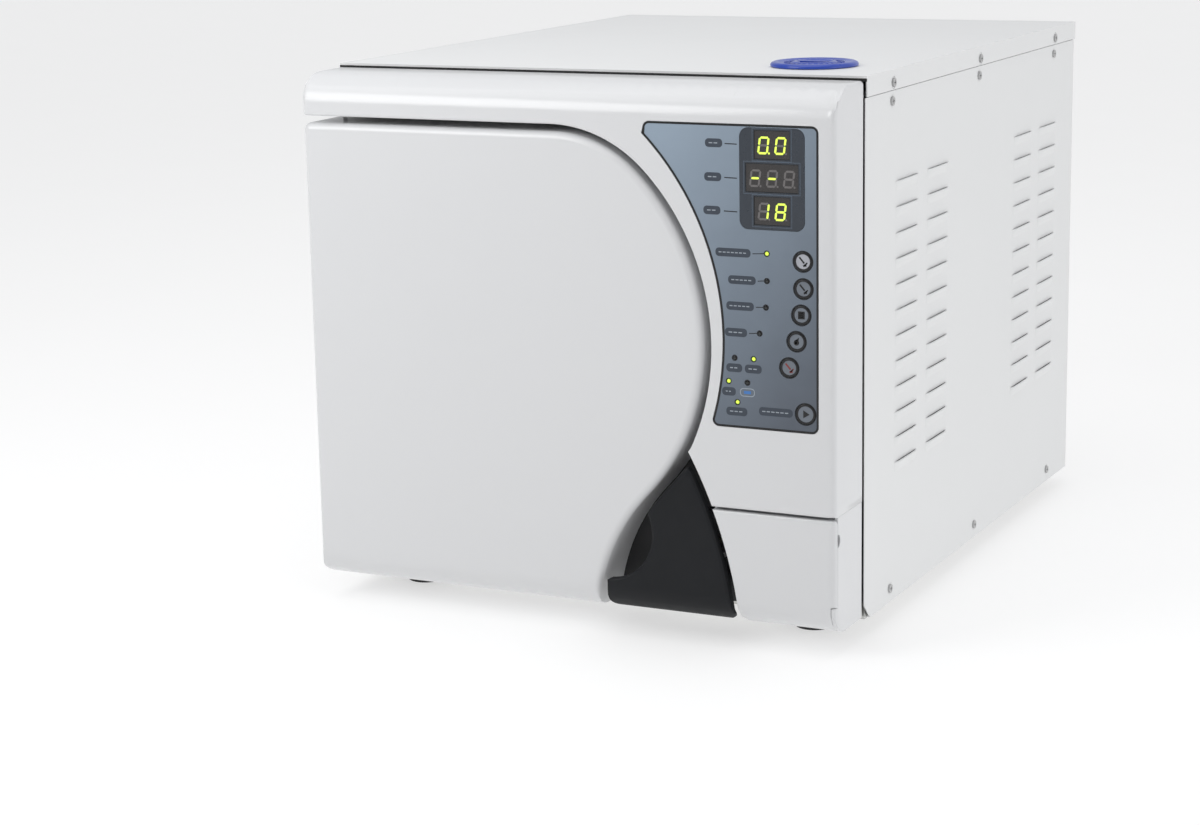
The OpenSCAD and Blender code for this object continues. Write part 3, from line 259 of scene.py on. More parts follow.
def painted_shade_cover_material():
    """Powder coat with painted shade: a near-black band on the lower part of the front edge stands in for the
    shadow of the gap below it.
    """
    m = material("powder_cover_painted_shade", (0.78, 0.785, 0.785), 0.46, var=0.008, var_scale=5, rvar=0.02,
                 grain=1100, bump=0.2, depth=0.00006, wave=0.02)
    tree = m.node_tree
    bsdf = tree.nodes["Principled BSDF"]
    paint = bsdf.inputs["Base Color"].links[0].from_socket
    place = tree.nodes.new("ShaderNodeTexCoord")
    split = tree.nodes.new("ShaderNodeSeparateXYZ")
    tree.links.new(place.outputs["Object"], split.inputs[0])
    tests = []
    for axis_name, limit in (("Z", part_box("top_cover")[1].z - SHADE_BAND_DROP), ("Y", CAB_Y * MM + SHADE_BAND_DEPTH)):
        test = tree.nodes.new("ShaderNodeMath")
        test.operation = "LESS_THAN"
        test.inputs[1].default_value = limit
        tree.links.new(split.outputs[axis_name], test.inputs[0])
        tests.append(test)
    both = tree.nodes.new("ShaderNodeMath")
    both.operation = "MULTIPLY"
    for test, socket in zip(tests, both.inputs):
        tree.links.new(test.outputs[0], socket)
    mix = tree.nodes.new("ShaderNodeMix")
    mix.data_type = "RGBA"
    # Painted shade: the near-black colour of the band on the cover's front edge.
    mix.inputs[7].default_value = (0.012, 0.012, 0.013, 1)
    tree.links.new(both.outputs[0], mix.inputs[0])
    tree.links.new(paint, mix.inputs[6])
    tree.links.new(mix.outputs[2], bsdf.inputs["Base Color"])
    return m


# The top cover's powder coat carries a painted shade band along the foot of its front edge.
M["cover"] = painted_shade_cover_material()
for group, mat, width in (
        ("base_pan front_bulkhead hinge_bracket lock_frame", "zinc", 0.3),
        ("rubber_feet", "rubber", 0.6),
        ("case_screws hinge_pins handle_pin latch_lever lock_bolt door_spindle", "screw", 0.25),
        ("rear_panel", "powder", 0.3), ("top_cover", "cover", 0.9),
        ("service_bay fan_frame fan_rotor power_inlet door_inner_frame", "black", 0.4),
        ("power_switch_housing power_rocker", "gloss_black", 0.4),
        ("chamber_vessel chamber_flange pressure_plate tray_rack instrument_trays steam_generator",
         "stainless", 0.4),
        ("chamber_heater", "heater", 0), ("insulation_jacket", "wool", 2.0),
        ("door_arm vacuum_pump", "casting", 0.8), ("water_pump", "black", 0.5), ("condenser_coil", "copper", 0),
        ("drain_valve_bodies safety_valve solenoid_valves", "brass", 0.3), ("lock_solenoid", "coil", 0.5),
        ("door_seal", "silicone", 0.8), ("water_tank", "tank", 1.0), ("filler_neck", "filter", 0.4),
        ("control_board", "board", 0), ("air_filter", "filter", 0.5), ("clean_drain_knob", "blue", 0.5),
        ("used_drain_knob", "grey_knob", 0.5)):
    for n in group.split():
        polish(n, M[mat], width)

# ------------------------------------------------------------------ mesh helpers
def arc(c, r, a0, a1, n):
    """Points on an arc between two angles in degrees."""
    return [(c[0] + r * math.cos(math.radians(a0 + (a1 - a0) * i / n)),
             c[1] + r * math.sin(math.radians(a0 + (a1 - a0) * i / n))) for i in range(n + 1)]


def asin_d(v):
    """Arc sine in degrees."""
    return math.degrees(math.asin(max(-1, min(1, v))))


def heading(a, b):
    """Direction from a to b in degrees."""
    return math.degrees(math.atan2(b[1] - a[1], b[0] - a[0]))


def fillet_centre(c, r, f, top):
    """Centre of the arc of radius f that joins the circle and the level line at top."""
    dz = top - f - c[1]
    return (c[0] + math.sqrt((r - f) ** 2 - dz * dz), top - f)


def make_object(name, verts, faces, mats, body, slot=None, smooth=32, solid=0.0, face_mats=None, weigh=False):
    """A mesh object in millimetres, which rides on a body."""
    me = bpy.data.meshes.new(name)
    me.from_pydata([tuple(c * MM for c in v) for v in verts], [], faces)
    for m in (mats if isinstance(mats, list) else [mats]):
        me.materials.append(m)
    if face_mats:
        for p, k in zip(me.polygons, face_mats):
            p.material_index = k
    bm = bmesh.new()
    bm.from_mesh(me)
    bmesh.ops.remove_doubles(bm, verts=bm.verts, dist=0.00002)
    bmesh.ops.dissolve_degenerate(bm, edges=bm.edges, dist=0.00001)
    bm.to_mesh(me)
    bm.free()
    for p in me.polygons:
        p.use_smooth = True
    me.set_sharp_from_angle(angle=math.radians(smooth))
    ob = bpy.data.objects.new(name, me)
    scene.collection.objects.link(ob)
    if solid:
        s = ob.modifiers.new("wall", "SOLIDIFY")
        s.thickness, s.offset, s.use_even_offset = solid * MM, -1, False
    if weigh:
        w = ob.modifiers.new("flat_faces", "WEIGHTED_NORMAL")
        w.mode, w.weight, w.keep_sharp = "FACE_AREA", 90, True
    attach(ob, body)
    return ob


def inside(p, poly):
    """Whether a point lies in a polygon."""
    x, y = p
    hit = False
    j = len(poly) - 1
    for i in range(len(poly)):
        xi, yi = poly[i]
        xj, yj = poly[j]
        if (yi > y) != (yj > y) and x < (xj - xi) * (y - yi) / (yj - yi) + xi:
            hit = not hit
        j = i
    return hit


def triangulate(loops, holes, extra):
    """Triangles of the area in the first loop and outside the holes, counter-clockwise."""
    pts, edges = [], []
    for loop in loops + holes:
        k = len(pts)
        pts += loop
        edges += [(k + i, k + (i + 1) % len(loop)) for i in range(len(loop))]
    pts += extra
    out_v, _, out_f, _, _, _ = delaunay_2d_cdt([Vector(p) for p in pts], edges, [], 0, 1e-5)
    out_v = [tuple(v) for v in out_v]
    tris = []
    for f in out_f:
        c = (sum(out_v[i][0] for i in f) / 3, sum(out_v[i][1] for i in f) / 3)
        if inside(c, loops[0]) and not any(inside(c, h) for h in holes):
            a, b, d = (out_v[i] for i in f)
            area = (b[0] - a[0]) * (d[1] - a[1]) - (d[0] - a[0]) * (b[1] - a[1])
            if abs(area) > 1e-7:
                tris.append(tuple(f) if area > 0 else tuple(reversed(f)))
    return out_v, tris


def densify(rings, step):
    """Splits the same sides of every ring, so that no side of the first is longer than step."""
    n = len(rings[0])
    out = [[] for _ in rings]
    for i in range(n):
        a, b = rings[0][i], rings[0][(i + 1) % n]
        k = max(1, math.ceil(math.hypot(b[0] - a[0], b[1] - a[1]) / step))
        for r, o in zip(rings, out):
            p, q = r[i], r[(i + 1) % n]
            o += [(p[0] + (q[0] - p[0]) * j / k, p[1] + (q[1] - p[1]) * j / k) for j in range(k)]
    return out


def edge_steps(radius, n):
    """Inset and depth of each ring of a rounded edge."""
    angles = [math.radians(90 * i / n) for i in range(n + 1)]
    return [(radius * (1 - math.cos(a)), radius * (1 - math.sin(a))) for a in angles]


def twice_area(poly):
    """Twice the area of a polygon, positive when it runs counter-clockwise."""
    n = len(poly)
    return sum(poly[i][0] * poly[(i + 1) % n][1] - poly[(i + 1) % n][0] * poly[i][1] for i in range(n))


HOLE_DEPTH = 1.2  # walls inside the holes of a front


def front_shell(name, outline, radius, push, back, mat, body, slot, step=7.0, holes=(), extra=(), wall=3.0,
                slab=None, ring_n=6):
    """A moulded front: rings of a rounded edge, a front face, and walls that run back.
    push(x, z) gives how far the face lies behind the front plane; back(x, z) gives the walls' rear Y.
    With slab, the piece is a plate of that thickness and has no walls."""
    steps = edge_steps(radius, ring_n)
    rings = densify([outline(d) for d, _ in steps], step)
    n = len(rings[0])
    verts, faces = [], []
    for ring, (_, depth) in zip(rings, steps):
        verts += [(x, FRONT + max(depth, push(x, z)), z) for x, z in ring]
    for k in range(len(rings) - 1):
        for i in range(n):
            j = (i + 1) % n
            faces.append((k * n + i, (k + 1) * n + i, (k + 1) * n + j, k * n + j))
    pts, tris = triangulate([rings[-1]], [list(h) for h in holes], [p for p in extra if inside(p, rings[-1])])
    base = len(verts)
    verts += [(x, FRONT + push(x, z), z) for x, z in pts]
    faces += [tuple(base + i for i in t) for t in tris]
    for h in holes:
        k = len(verts)
        for depth in (0, HOLE_DEPTH):
            verts += [(x, FRONT + push(x, z) + depth, z) for x, z in h]
        m = len(h)
        ccw = twice_area(h) > 0
        for i in range(m):
            j = (i + 1) % m
            q = (k + i, k + j, k + m + j, k + m + i)
            faces.append(q if ccw else tuple(reversed(q)))
    if slab:
        k = len(verts)
        verts += [(x, y + slab, z) for x, y, z in verts]
        faces += [tuple(k + i for i in reversed(f)) for f in faces]
        faces += [(i, (i + 1) % n, k + (i + 1) % n, k + i) for i in range(n)]
        return make_object(name, verts, faces, mat, body, slot, weigh=True)
    k = len(verts)
    for x, z in rings[0]:
        y0 = FRONT + max(steps[0][1], push(x, z))
        verts.append((x, max(y0 + 0.5, back(x, z)), z))
    faces += [(i, (i + 1) % n, k + (i + 1) % n, k + i) for i in range(n)]
    return make_object(name, verts, faces, mat, body, slot, solid=wall, weigh=True)


def rows(x0, x1, zs, dx):
    """Rows of points about dx apart, one row for each height."""
    n = max(1, round((x1 - x0) / dx))
    return [(x0 + (x1 - x0) * i / n, z) for z in zs for i in range(n + 1)]


BOTTOM_R = 22.0


def bottom_push(z):
    """How far the rounded bottom edge lies behind the front plane."""
    t = LOW + BOTTOM_R - z
    return 0.0 if t <= 0 else BOTTOM_R - math.sqrt(max(0.0, BOTTOM_R ** 2 - min(t, BOTTOM_R) ** 2))


BOTTOM_ZS = [LOW + BOTTOM_R * (1 - math.cos(math.radians(a))) + 0.01 for a in range(0, 91, 6)]

# ------------------------------------------------------------------ door cover
DOOR_TOP, DOOR_C, DOOR_R, DOOR_F, SCOOP_R, SCOOP_A = 391.5, (-58, 236), 177.0, 100.0, 161.0, -43.7
HINGE_Z = (140, 325)
CORNER, LOW_CORNER = 6.0, 9.0


def door_outline(d):
    top, low, r, f = DOOR_TOP - d, LOW + d, DOOR_R - d, DOOR_F - d
    fc = fillet_centre(DOOR_C, r, f, top)
    a = heading(DOOR_C, fc)
    s = math.radians(SCOOP_A)
    sc = (DOOR_C[0] + (DOOR_R + SCOOP_R) * math.cos(s), DOOR_C[1] + (DOOR_R + SCOOP_R) * math.sin(s))
    sr = SCOOP_R + d
    end = 180 - asin_d((low - sc[1]) / sr)
    k = max(CORNER - d, 0.0)
    left = -HW + CORNER
    notch = [(-HW + d, z) for h in HINGE_Z for z in (h - 31.05, h - 30.95, h + 30.95, h + 31.05)]
    return (arc((-HW + LOW_CORNER, LOW + LOW_CORNER), LOW_CORNER - d, 270, 180, 5) + notch
            + arc((left, DOOR_TOP - CORNER), k, 180, 90, 5)
            + arc(fc, f, 90, a, 18) + arc(DOOR_C, r, a, SCOOP_A, 60)[1:]
            + arc(sc, sr, 180 + SCOOP_A, end, 26)[1:])


def door_back(x, z):
    if x < -HW + 1 and any(abs(z - h) < 31 for h in HINGE_Z):
        return -269.0
    return -262.5 if x > 24 and z < 152 else -253.0


door = front_shell("door_skin", door_outline, 6.0, lambda x, z: bottom_push(z), door_back, M["moulding"],
                   "door", "white_moulding",
                   extra=rows(-222, 60, BOTTOM_ZS, 14) + rows(-200, 110, range(60, 380, 40), 40))
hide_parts("door_cover")

# ------------------------------------------------------------------ fascia
BAR_LOW, TOP, FAS_C, FAS_R, FAS_F = 397.0, 430.0, (-59, 234.5), 184.6, 110.0
SLANT_C, SLANT_R, SLANT_TOP = (-210, -21), 360.0, 152.3
SEAM, SEAM_GAP = 109.3, 2.2
OVER_C, OVER_R = (-77.5, 240.3), 213.4


def slant_x(z, r=SLANT_R):
    """X of the curved line between the handle and the column."""
    return SLANT_C[0] + math.sqrt(r * r - (z - SLANT_C[1]) ** 2)


def fascia_outline(d):
    low, r, f, sr = BAR_LOW + d, FAS_R + d, FAS_F + d, SLANT_R + d
    fc = fillet_centre(FAS_C, r, f, low)
    a = heading(FAS_C, fc)
    z1, z0 = SLANT_TOP, SEAM + SEAM_GAP + d
    k = max(3 - d, 0.001)
    return (arc((-HW + 3, BAR_LOW + 3), k, 270, 180, 3) + arc((-HW + 3, TOP - 3), k, 180, 90, 3)
            + arc((HW - 3, TOP - 3), k, 90, 0, 3) + [(HW - d, z0)]
            + list(reversed(arc(SLANT_C, sr, asin_d((z1 - SLANT_C[1]) / sr),
                                asin_d((z0 - SLANT_C[1]) / sr), 8)))
            + list(reversed(arc(FAS_C, r, a, asin_d((z1 - FAS_C[1]) / r), 60)[1:-1]))
            + list(reversed(arc(fc, f, 90, a, 18))))


def fascia_push(x, z):
    """How far the fascia's rounded top and sides lie behind the front plane."""
    out = 0.0
    if z > 404:
        out = 32 * (1 - math.sqrt(max(0.0, 1 - min(1.0, (z - 404) / 26) ** 2)))
    for edge in (HW - x, HW + x):
        if edge < 5:
            out = max(out, 5 - math.sqrt(max(0.0, 25 - (5 - max(edge, 0.0)) ** 2)))
    return out


def overlay_outline(d):
    r, k, c, z1, z0 = OVER_R + d, 5.0, 5.0 - d, 393.0, 180.0
    cx = lambda z: OVER_C[0] + math.sqrt(OVER_R ** 2 - (z - OVER_C[1]) ** 2)
    return (arc((212 - k, 402 - k), c, 0, 90, 6) + arc((cx(z1) + k + 1, 402 - k), c, 90, 175, 6)
            + arc(OVER_C, r, asin_d((z1 - OVER_C[1]) / r), asin_d((z0 - OVER_C[1]) / r), 30)
            + arc((cx(z0) + k, 175 + k), c, 190, 270, 6) + arc((212 - k, 175 + k), c, 270, 360, 6))


top_zs = [404 + 26 * math.sin(math.radians(a)) for a in range(0, 84, 6)]
fascia_extra = rows(-221, 221, top_zs, 13) + [(x, z) for x in (218, 220, 221, 222) for z in range(120, 427, 9)]
fascia = front_shell("fascia_skin", fascia_outline, 2.5, fascia_push, lambda x, z: CAB_Y - 5, M["moulding"],
                     "cabinet", "white_moulding", holes=[overlay_outline(-0.3)], extra=fascia_extra, ring_n=5)
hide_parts("front_fascia")

# ------------------------------------------------------------------ service door
COLUMN_X, COLUMN_TOP = HW - 3, 41.6


def flap_outline(d):
    sr, z1, z0 = SLANT_R + d, SEAM - d, LOW + d
    k = max(2.5 - d, 0.001)
    return (arc(SLANT_C, sr, asin_d((z0 - SLANT_C[1]) / sr), asin_d((z1 - SLANT_C[1]) / sr), 14)
            + arc((HW - 2.5, SEAM - 2.5), k, 90, 0, 3)
            + [(HW - d, COLUMN_TOP + 0.4 + d), (COLUMN_X - 0.4 - d, COLUMN_TOP + 0.4 + d)]
            + arc((COLUMN_X - 2.9, LOW + 2.5), k, 0, -90, 3))


def flap_back(x, z):
    return FRONT + 5.7 if x > HW - 4 else FRONT + 22


flap = front_shell("service_door_skin", flap_outline, 1.6,
                   lambda x, z: max(fascia_push(x, 200), bottom_push(z)), flap_back,
                   M["moulding"], "service_door", "white_moulding", ring_n=4, wall=2.6,
                   extra=(rows(150, 221, BOTTOM_ZS, 9)
                          + [(x, z) for x in (218, 220, 221, 222) for z in range(24, 106, 6)]))
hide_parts("service_door")

# ------------------------------------------------------------------ handle
HANDLE_R, SCALLOP_C, SCALLOP_R = SLANT_R - 5, (36, 84), 38.5


def handle_outline(d):
    low, left, k = 22.0, 35.5, 6.0
    r = HANDLE_R - d
    z0 = low + k
    xr = SLANT_C[0] + math.sqrt(HANDLE_R ** 2 - (z0 - SLANT_C[1]) ** 2)
    kk = max(k - d, 0.001)
    sr = SCALLOP_R + d
    return (arc((left + k, low + k), kk, 270, 180, 5) + [(left + d, 44 - 0.4 * d)]
            + arc(SCALLOP_C, sr, -86, 26, 26)
            + [(73.5 + 0.5 * d, 105.5 - 0.9 * d), (88 + 0.85 * d, 122 - 0.75 * d),
               (101.6 + 0.55 * d, 137.6 - 1.5 * d)]
            + [(103.2 + 0.1 * d, 139.2 - 2.0 * d), (105.2 - 0.5 * d, 139.6 - 2.2 * d)]
            + arc(SLANT_C, r, asin_d((136.6 - 2.0 * d - SLANT_C[1]) / r), asin_d((z0 - SLANT_C[1]) / r), 22)
            + arc((xr - k, z0), kk, -4, -90, 5))


grip = front_shell("handle_skin", handle_outline, 2.6, lambda x, z: bottom_push(z), None, M["charcoal"],
                   "handle", "charcoal_plastic", step=5.0, slab=3.9, ring_n=5,
                   extra=(rows(40, 140, [z for z in BOTTOM_ZS if z > 24], 8)
                          + rows(50, 140, range(50, 135, 12), 12)))
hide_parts("handle_grip")

# ------------------------------------------------------------------ lower fascia, behind the service door
def prism_y(poly, y0, y1):
    """Vertices and faces of an X-Z polygon, counter-clockwise, between two values of Y."""
    n = len(poly)
    v = [(x, y0, z) for x, z in poly] + [(x, y1, z) for x, z in poly]
    f = [tuple(range(n)), tuple(reversed(range(n, 2 * n)))]
    f += [((i + 1) % n, i, n + i, n + (i + 1) % n) for i in range(n)]
    return v, f


def prism_x(poly, x0, x1):
    """The same for a Y-Z polygon, between two values of X."""
    n = len(poly)
    v = [(x1, y, z) for y, z in poly] + [(x0, y, z) for y, z in poly]
    f = [tuple(range(n)), tuple(reversed(range(n, 2 * n)))]
    f += [((i + 1) % n, i, n + i, n + (i + 1) % n) for i in range(n)]
    return v, f


def merged(parts):
    """One list of vertices and one of faces from several."""
    verts, faces = [], []
    for v, f in parts:
        k = len(verts)
        verts += v
        faces += [tuple(k + i for i in face) for face in f]
    return verts, faces


def add_bevel(ob, width, segments, angle):
    b = ob.modifiers.new("edge", "BEVEL")
    b.width, b.segments, b.limit_method = width * MM, segments, "ANGLE"
    b.angle_limit, b.harden_normals = math.radians(angle), True


REAR = CAB_Y - 5
lip_y = FRONT + 6.5
arc_c = (FRONT + BOTTOM_R, LOW + BOTTOM_R)
side = ([(REAR, LOW), (REAR, SEAM + SEAM_GAP), (lip_y, SEAM + SEAM_GAP)] + arc((lip_y, 93), 5, 90, -90, 8)
        + arc(arc_c, BOTTOM_R, 225.2, 270, 8))
side = list(reversed(side))
RIB_R, RIB_TOP = SLANT_R + 3, SEAM + SEAM_GAP
slanted = ([(slant_x(z), z) for z in range(54, 111, 8)]
           + [(slant_x(RIB_TOP), RIB_TOP), (slant_x(RIB_TOP, RIB_R), RIB_TOP)]
           + [(slant_x(z, RIB_R), z) for z in range(110, 53, -8)])
low_slant = [(slant_x(z), z) for z in (LOW, 30, 42, 54)] + [(slant_x(z, RIB_R), z) for z in (54, 42, 30, LOW)]
lower = make_object("fascia_lower", *merged([
    prism_x(side, HW - 3, HW),
    prism_y(list(reversed(slanted)), lip_y, REAR), prism_y(list(reversed(low_slant)), FRONT + 24.5, REAR),
    prism_y([(slant_x(LOW), LOW), (HW - 3, LOW), (HW - 3, LOW + 3), (slant_x(LOW + 3), LOW + 3)],
            FRONT + 24.5, REAR)]),
    M["moulding"], "cabinet", "white_moulding")
add_bevel(lower, 0.7, 3, 50)


def column_outline(d):
    return [(COLUMN_X + d, LOW + d), (COLUMN_X + d, COLUMN_TOP - d), (HW - d, COLUMN_TOP - d),
            (HW - d, LOW + d)]


front_shell("fascia_corner", column_outline, 0.5, lambda x, z: max(fascia_push(x, 200), bottom_push(z)),
            lambda x, z: lip_y, M["moulding"], "cabinet", "white_moulding", step=2.0, ring_n=3, wall=0.8,
            extra=rows(222.7, 224.3, BOTTOM_ZS, 0.6))

# ------------------------------------------------------------------ side panels with pressed louvres
LOUVRE_Y, LOUVRE_ROWS, LOUVRE_L, LOUVRE_TOP = (-154, -81, 145, 218), 12, 52.0, 348.0
LOUVRE_PITCH, LOUVRE_H, LOUVRE_OUT = 20.1, 9.5, 2.15
SCREW_Y = (-188, 22, 235)
PANEL_X, CAB_BACK, FOOT, CAB_TOP = 225.0, 298.0, 15.0, 433.0


def side_panel(name, sign, node):
    """A sheet with pressed louvres and dimpled screw holes; sign is 1 for the right and -1 for the left."""
    ny, nz = 16, 7
    verts, faces, holes = [], [], []
    flip = sign < 0

    def put(y, z, out):
        verts.append((sign * (PANEL_X + out), y, z))
        return len(verts) - 1

    def face(*idx):
        faces.append(tuple(reversed(idx)) if flip else tuple(idx))

    for yc in LOUVRE_Y:
        for row in range(LOUVRE_ROWS):
            zt = LOUVRE_TOP - row * LOUVRE_PITCH - 0.9
            zb = LOUVRE_TOP - row * LOUVRE_PITCH - LOUVRE_H
            ys = [yc - LOUVRE_L / 2 + LOUVRE_L * (0.5 - 0.5 * math.cos(math.pi * i / ny))
                  for i in range(ny + 1)]
            zs = [zb + (zt - zb) * j / nz for j in range(nz + 1)]
            holes.append([(y, zb) for y in ys] + [(ys[-1], z) for z in zs[1:]]
                         + [(y, zt) for y in reversed(ys[:-1])] + [(ys[0], z) for z in reversed(zs[1:-1])])
            grid = []
            for j, z in enumerate(zs):
                t = j / nz
                line = []
                for y in ys:
                    u = abs(y - yc) / (LOUVRE_L / 2)
                    e = 1 - u ** 7
                    line.append(put(y, z, LOUVRE_OUT * e * math.sin(math.pi / 2 * t) ** 1.3))
                grid.append(line)
            for j in range(nz):
                for i in range(ny):
                    face(grid[j][i], grid[j][i + 1], grid[j + 1][i + 1], grid[j + 1][i])
    for y in SCREW_Y:
        for z in (CAB_TOP - 24, FOOT + 11):
            turns = [math.tau * i / 24 for i in range(24)]
            rings = [[(y + r * math.cos(a), z + r * math.sin(a)) for a in turns] for r in (5.0, 4.7, 4.0, 1.9)]
            holes.append(rings[0])
            idx = [[put(p[0], p[1], out) for p in ring] for ring, out in zip(rings, (0, -0.12, -0.5, -0.5))]
            for a, b in zip(idx, idx[1:]):
                for i in range(24):
                    j = (i + 1) % 24
                    face(a[i], a[j], b[j], b[i])
    seam = CAB_TOP - 16.3
    outline = [(CAB_Y + 13, FOOT), (CAB_BACK, FOOT), (CAB_BACK, seam), (CAB_Y, seam), (CAB_Y, FOOT + 13)]
    pts, tris = triangulate([outline], holes, [])
    k = len(verts)
    for y, z in pts:
        put(y, z, 0.0)
    for t in tris:
        face(*(k + i for i in t))
    ob = make_object(name, verts, faces, M["powder"], "cabinet", "white_powder_coat", smooth=40, solid=1.1,
                     weigh=True)
    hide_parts(node)


side_panel("right_panel_skin", 1, "right_side_panel")
side_panel("left_panel_skin", -1, "left_side_panel")

# ------------------------------------------------------------------ control overlay
def overlay_material():
    """Blue-grey film that is paler towards its upper left."""
    g = Graph("overlay_film")
    b = g.bsdf
    b.inputs["Coat Weight"].default_value, b.inputs["Coat Roughness"].default_value = 0.25, 0.3
    sep = g.add("ShaderNodeSeparateXYZ")
    g.link(g.coord, sep.inputs[0])
    lift = g.add("ShaderNodeMath", operation="MULTIPLY_ADD")
    g.link(sep.outputs["X"], lift.inputs[0])
    lift.inputs[1].default_value = -1.1
    g.link(sep.outputs["Z"], lift.inputs[2])
    tone = g.span(lift.outputs[0], 0, 1, -0.03, 0.30)
    cloud = g.span(g.noise(30, 3), -0.03, 0.03)
    both = g.add("ShaderNodeMath", operation="ADD")
    g.link(tone, both.inputs[0])
    g.link(cloud, both.inputs[1])
    g.link(g.mix(both.outputs[0], (0.080, 0.097, 0.125), (0.275, 0.345, 0.425)), b.inputs["Base Color"])
    g.link(g.span(g.noise(50, 4), 0.36, 0.46), b.inputs["Roughness"])
    g.link(g.bump(g.noise(1600, 2), 0.12, 0.00004), b.inputs["Normal"])
    return g.mat


def glow(name, color, strength):
    """A surface that also gives off its own colour."""
    m = material(name, color, 0.35, var=0.03, var_scale=300, grain=900, bump=0.05)
    b = m.node_tree.nodes["Principled BSDF"]
    b.inputs["Emission Color"].default_value = (*color, 1)
    b.inputs["Emission Strength"].default_value = strength
    return m


M["overlay"] = overlay_material()
for ink, colour, rough, var, var_scale in (
        ("print_dark", (0.040, 0.052, 0.072), 0.42, 0.10, 120),
        ("print_black", (0.006, 0.006, 0.007), 0.40, 0.15, 120),
        ("print_pale", (0.33, 0.37, 0.42), 0.45, 0.06, 160),
        ("print_blue", (0.06, 0.19, 0.50), 0.45, 0.08, 160),
        ("print_red", (0.22, 0.035, 0.030), 0.45, 0.08, 160)):
    M[ink] = material(ink, colour, rough, var=var, var_scale=var_scale, grain=1500, bump=0.1)
M["window"] = material("window_slate", (0.022, 0.030, 0.043), 0.30, coat=0.3, var=0.10, var_scale=40,
                       grain=1400, bump=0.08)
M["module"] = material("module_lens", (0.032, 0.029, 0.029), 0.28, coat=0.2, var=0.12, var_scale=60,
                       grain=900, bump=0.05)
M["module_line"] = material("module_line", (0.075, 0.10, 0.135), 0.4, var=0.1, var_scale=90, grain=900,
                            bump=0.05)
M["segment_off"] = material("segment_off", (0.15, 0.14, 0.14), 0.5, var=0.06, var_scale=200, grain=900,
                            bump=0.05)
M["segment_on"] = glow("segment_on", (0.60, 0.78, 0.09), 0.78)
M["led_on"] = glow("led_on", (0.58, 0.78, 0.07), 0.9)
M["led_off"] = material("led_off", (0.012, 0.013, 0.013), 0.25, coat=0.3, var=0.1, grain=900, bump=0.05)
M["key_grey"] = material("key_grey", (0.155, 0.175, 0.205), 0.42, var=0.08, var_scale=70, grain=1500, bump=0.15)
M["key_pale"] = material("key_pale", (0.40, 0.41, 0.45), 0.42, var=0.08, var_scale=70, grain=1500, bump=0.15)
polish("control_overlay", M["overlay"], 0)
polish("display_window", M["window"], 0)
polish("digit_modules", M["module"], 0.2)

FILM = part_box("control_overlay")[0].y * 1000


class Prints:
    """Thin printed shapes that lie on a flat face, each with its own material."""

    def __init__(self, y, thick=0.06):
        self.y, self.thick, self.verts, self.faces, self.which, self.mats = y, thick, [], [], [], []

    def mat(self, m):
        if m not in self.mats:
            self.mats.append(m)
        return self.mats.index(m)

    def add(self, poly, m, lift=0.0):
        poly = poly if twice_area(poly) > 0 else list(reversed(poly))
        v, f = prism_y(poly, self.y - self.thick - lift, self.y + 0.02)
        k = len(self.verts)
        self.verts += v
        self.faces += [tuple(k + i for i in face) for face in f]
        self.which += [self.mat(m)] * len(f)

    def ring(self, outer, inner, m, lift=0.0):
        n, y0 = len(outer), self.y - self.thick - lift
        k = len(self.verts)
        for loop, y in ((outer, y0), (inner, y0), (outer, self.y), (inner, self.y)):
            self.verts += [(x, y, z) for x, z in loop]
        ccw = twice_area(outer) > 0
        for i in range(n):
            j = (i + 1) % n
            for q in ((k + i, k + j, k + n + j, k + n + i), (k + 2 * n + i, k + 2 * n + j, k + j, k + i),
                      (k + n + i, k + n + j, k + 3 * n + j, k + 3 * n + i)):
                self.faces.append(q if ccw else tuple(reversed(q)))
                self.which.append(self.mat(m))

    def make(self, name, body, slot):
        return make_object(name, self.verts, self.faces, self.mats, body, slot, smooth=20, face_mats=self.which)


def pill(x0, x1, z, h, cut=0.42):
    k = h * cut
    return (arc((x1 - k, z + h / 2 - k), k, 90, 0, 4) + arc((x1 - k, z - h / 2 + k), k, 0, -90, 4)
            + arc((x0 + k, z - h / 2 + k), k, 270, 180, 4) + arc((x0 + k, z + h / 2 - k), k, 180, 90, 4))


def disc(c, r, n=32):
    return [(c[0] + r * math.cos(math.tau * i / n), c[1] + r * math.sin(math.tau * i / n)) for i in range(n)]


def stroke(a, b, w):
    d = Vector((b[0] - a[0], b[1] - a[1])).normalized() * w / 2
    return [(a[0] - d.y, a[1] + d.x), (a[0] + d.y, a[1] - d.x),
            (b[0] + d.y, b[1] - d.x), (b[0] - d.y, b[1] + d.x)]


prints = Prints(FILM)
prints.ring(overlay_outline(0.02), overlay_outline(1.5), M["print_black"], 0.03)
# left and right ends and height of each printed label, which holds a row of dashes
PILLS = [(122.9, 136.7, 387.7), (122.0, 135.7, 362.7), (121.1, 134.8, 337.9), (130.5, 158.6, 307.1),
         (140.5, 162.6, 286.9), (138.9, 161.0, 267.3), (137.6, 155.4, 247.3), (138.5, 151.3, 220.4),
         (153.4, 167.0, 220.4), (134.9, 146.0, 202.2), (138.2, 155.2, 187.2), (164.6, 191.6, 189.0)]
PILL_H, DASH_PITCH, DASH_GAP, DASH_W = 6.4, 3.2, 1.0, 0.75
for x0, x1, z in PILLS:
    prints.add(pill(x0, x1, z, PILL_H), M["print_dark"])
    pad = 3.0 if x1 - x0 < 18 else 2.6
    n = max(2, int((x1 - x0 - 2 * pad) / DASH_PITCH))
    for i in range(n):
        a = x0 + pad + (x1 - x0 - 2 * pad) * i / n
        b = a + (x1 - x0 - 2 * pad) / n - DASH_GAP
        prints.add(stroke((a, z), (b, z), DASH_W), M["print_pale"], 0.03)
prints.ring(pill(149.4, 161.4, 202.3, PILL_H), pill(150.0, 160.8, 202.3, 5.2), M["print_pale"])
prints.add(stroke((152.6, 202.3), (158.2, 202.3), 2.2), M["print_blue"])
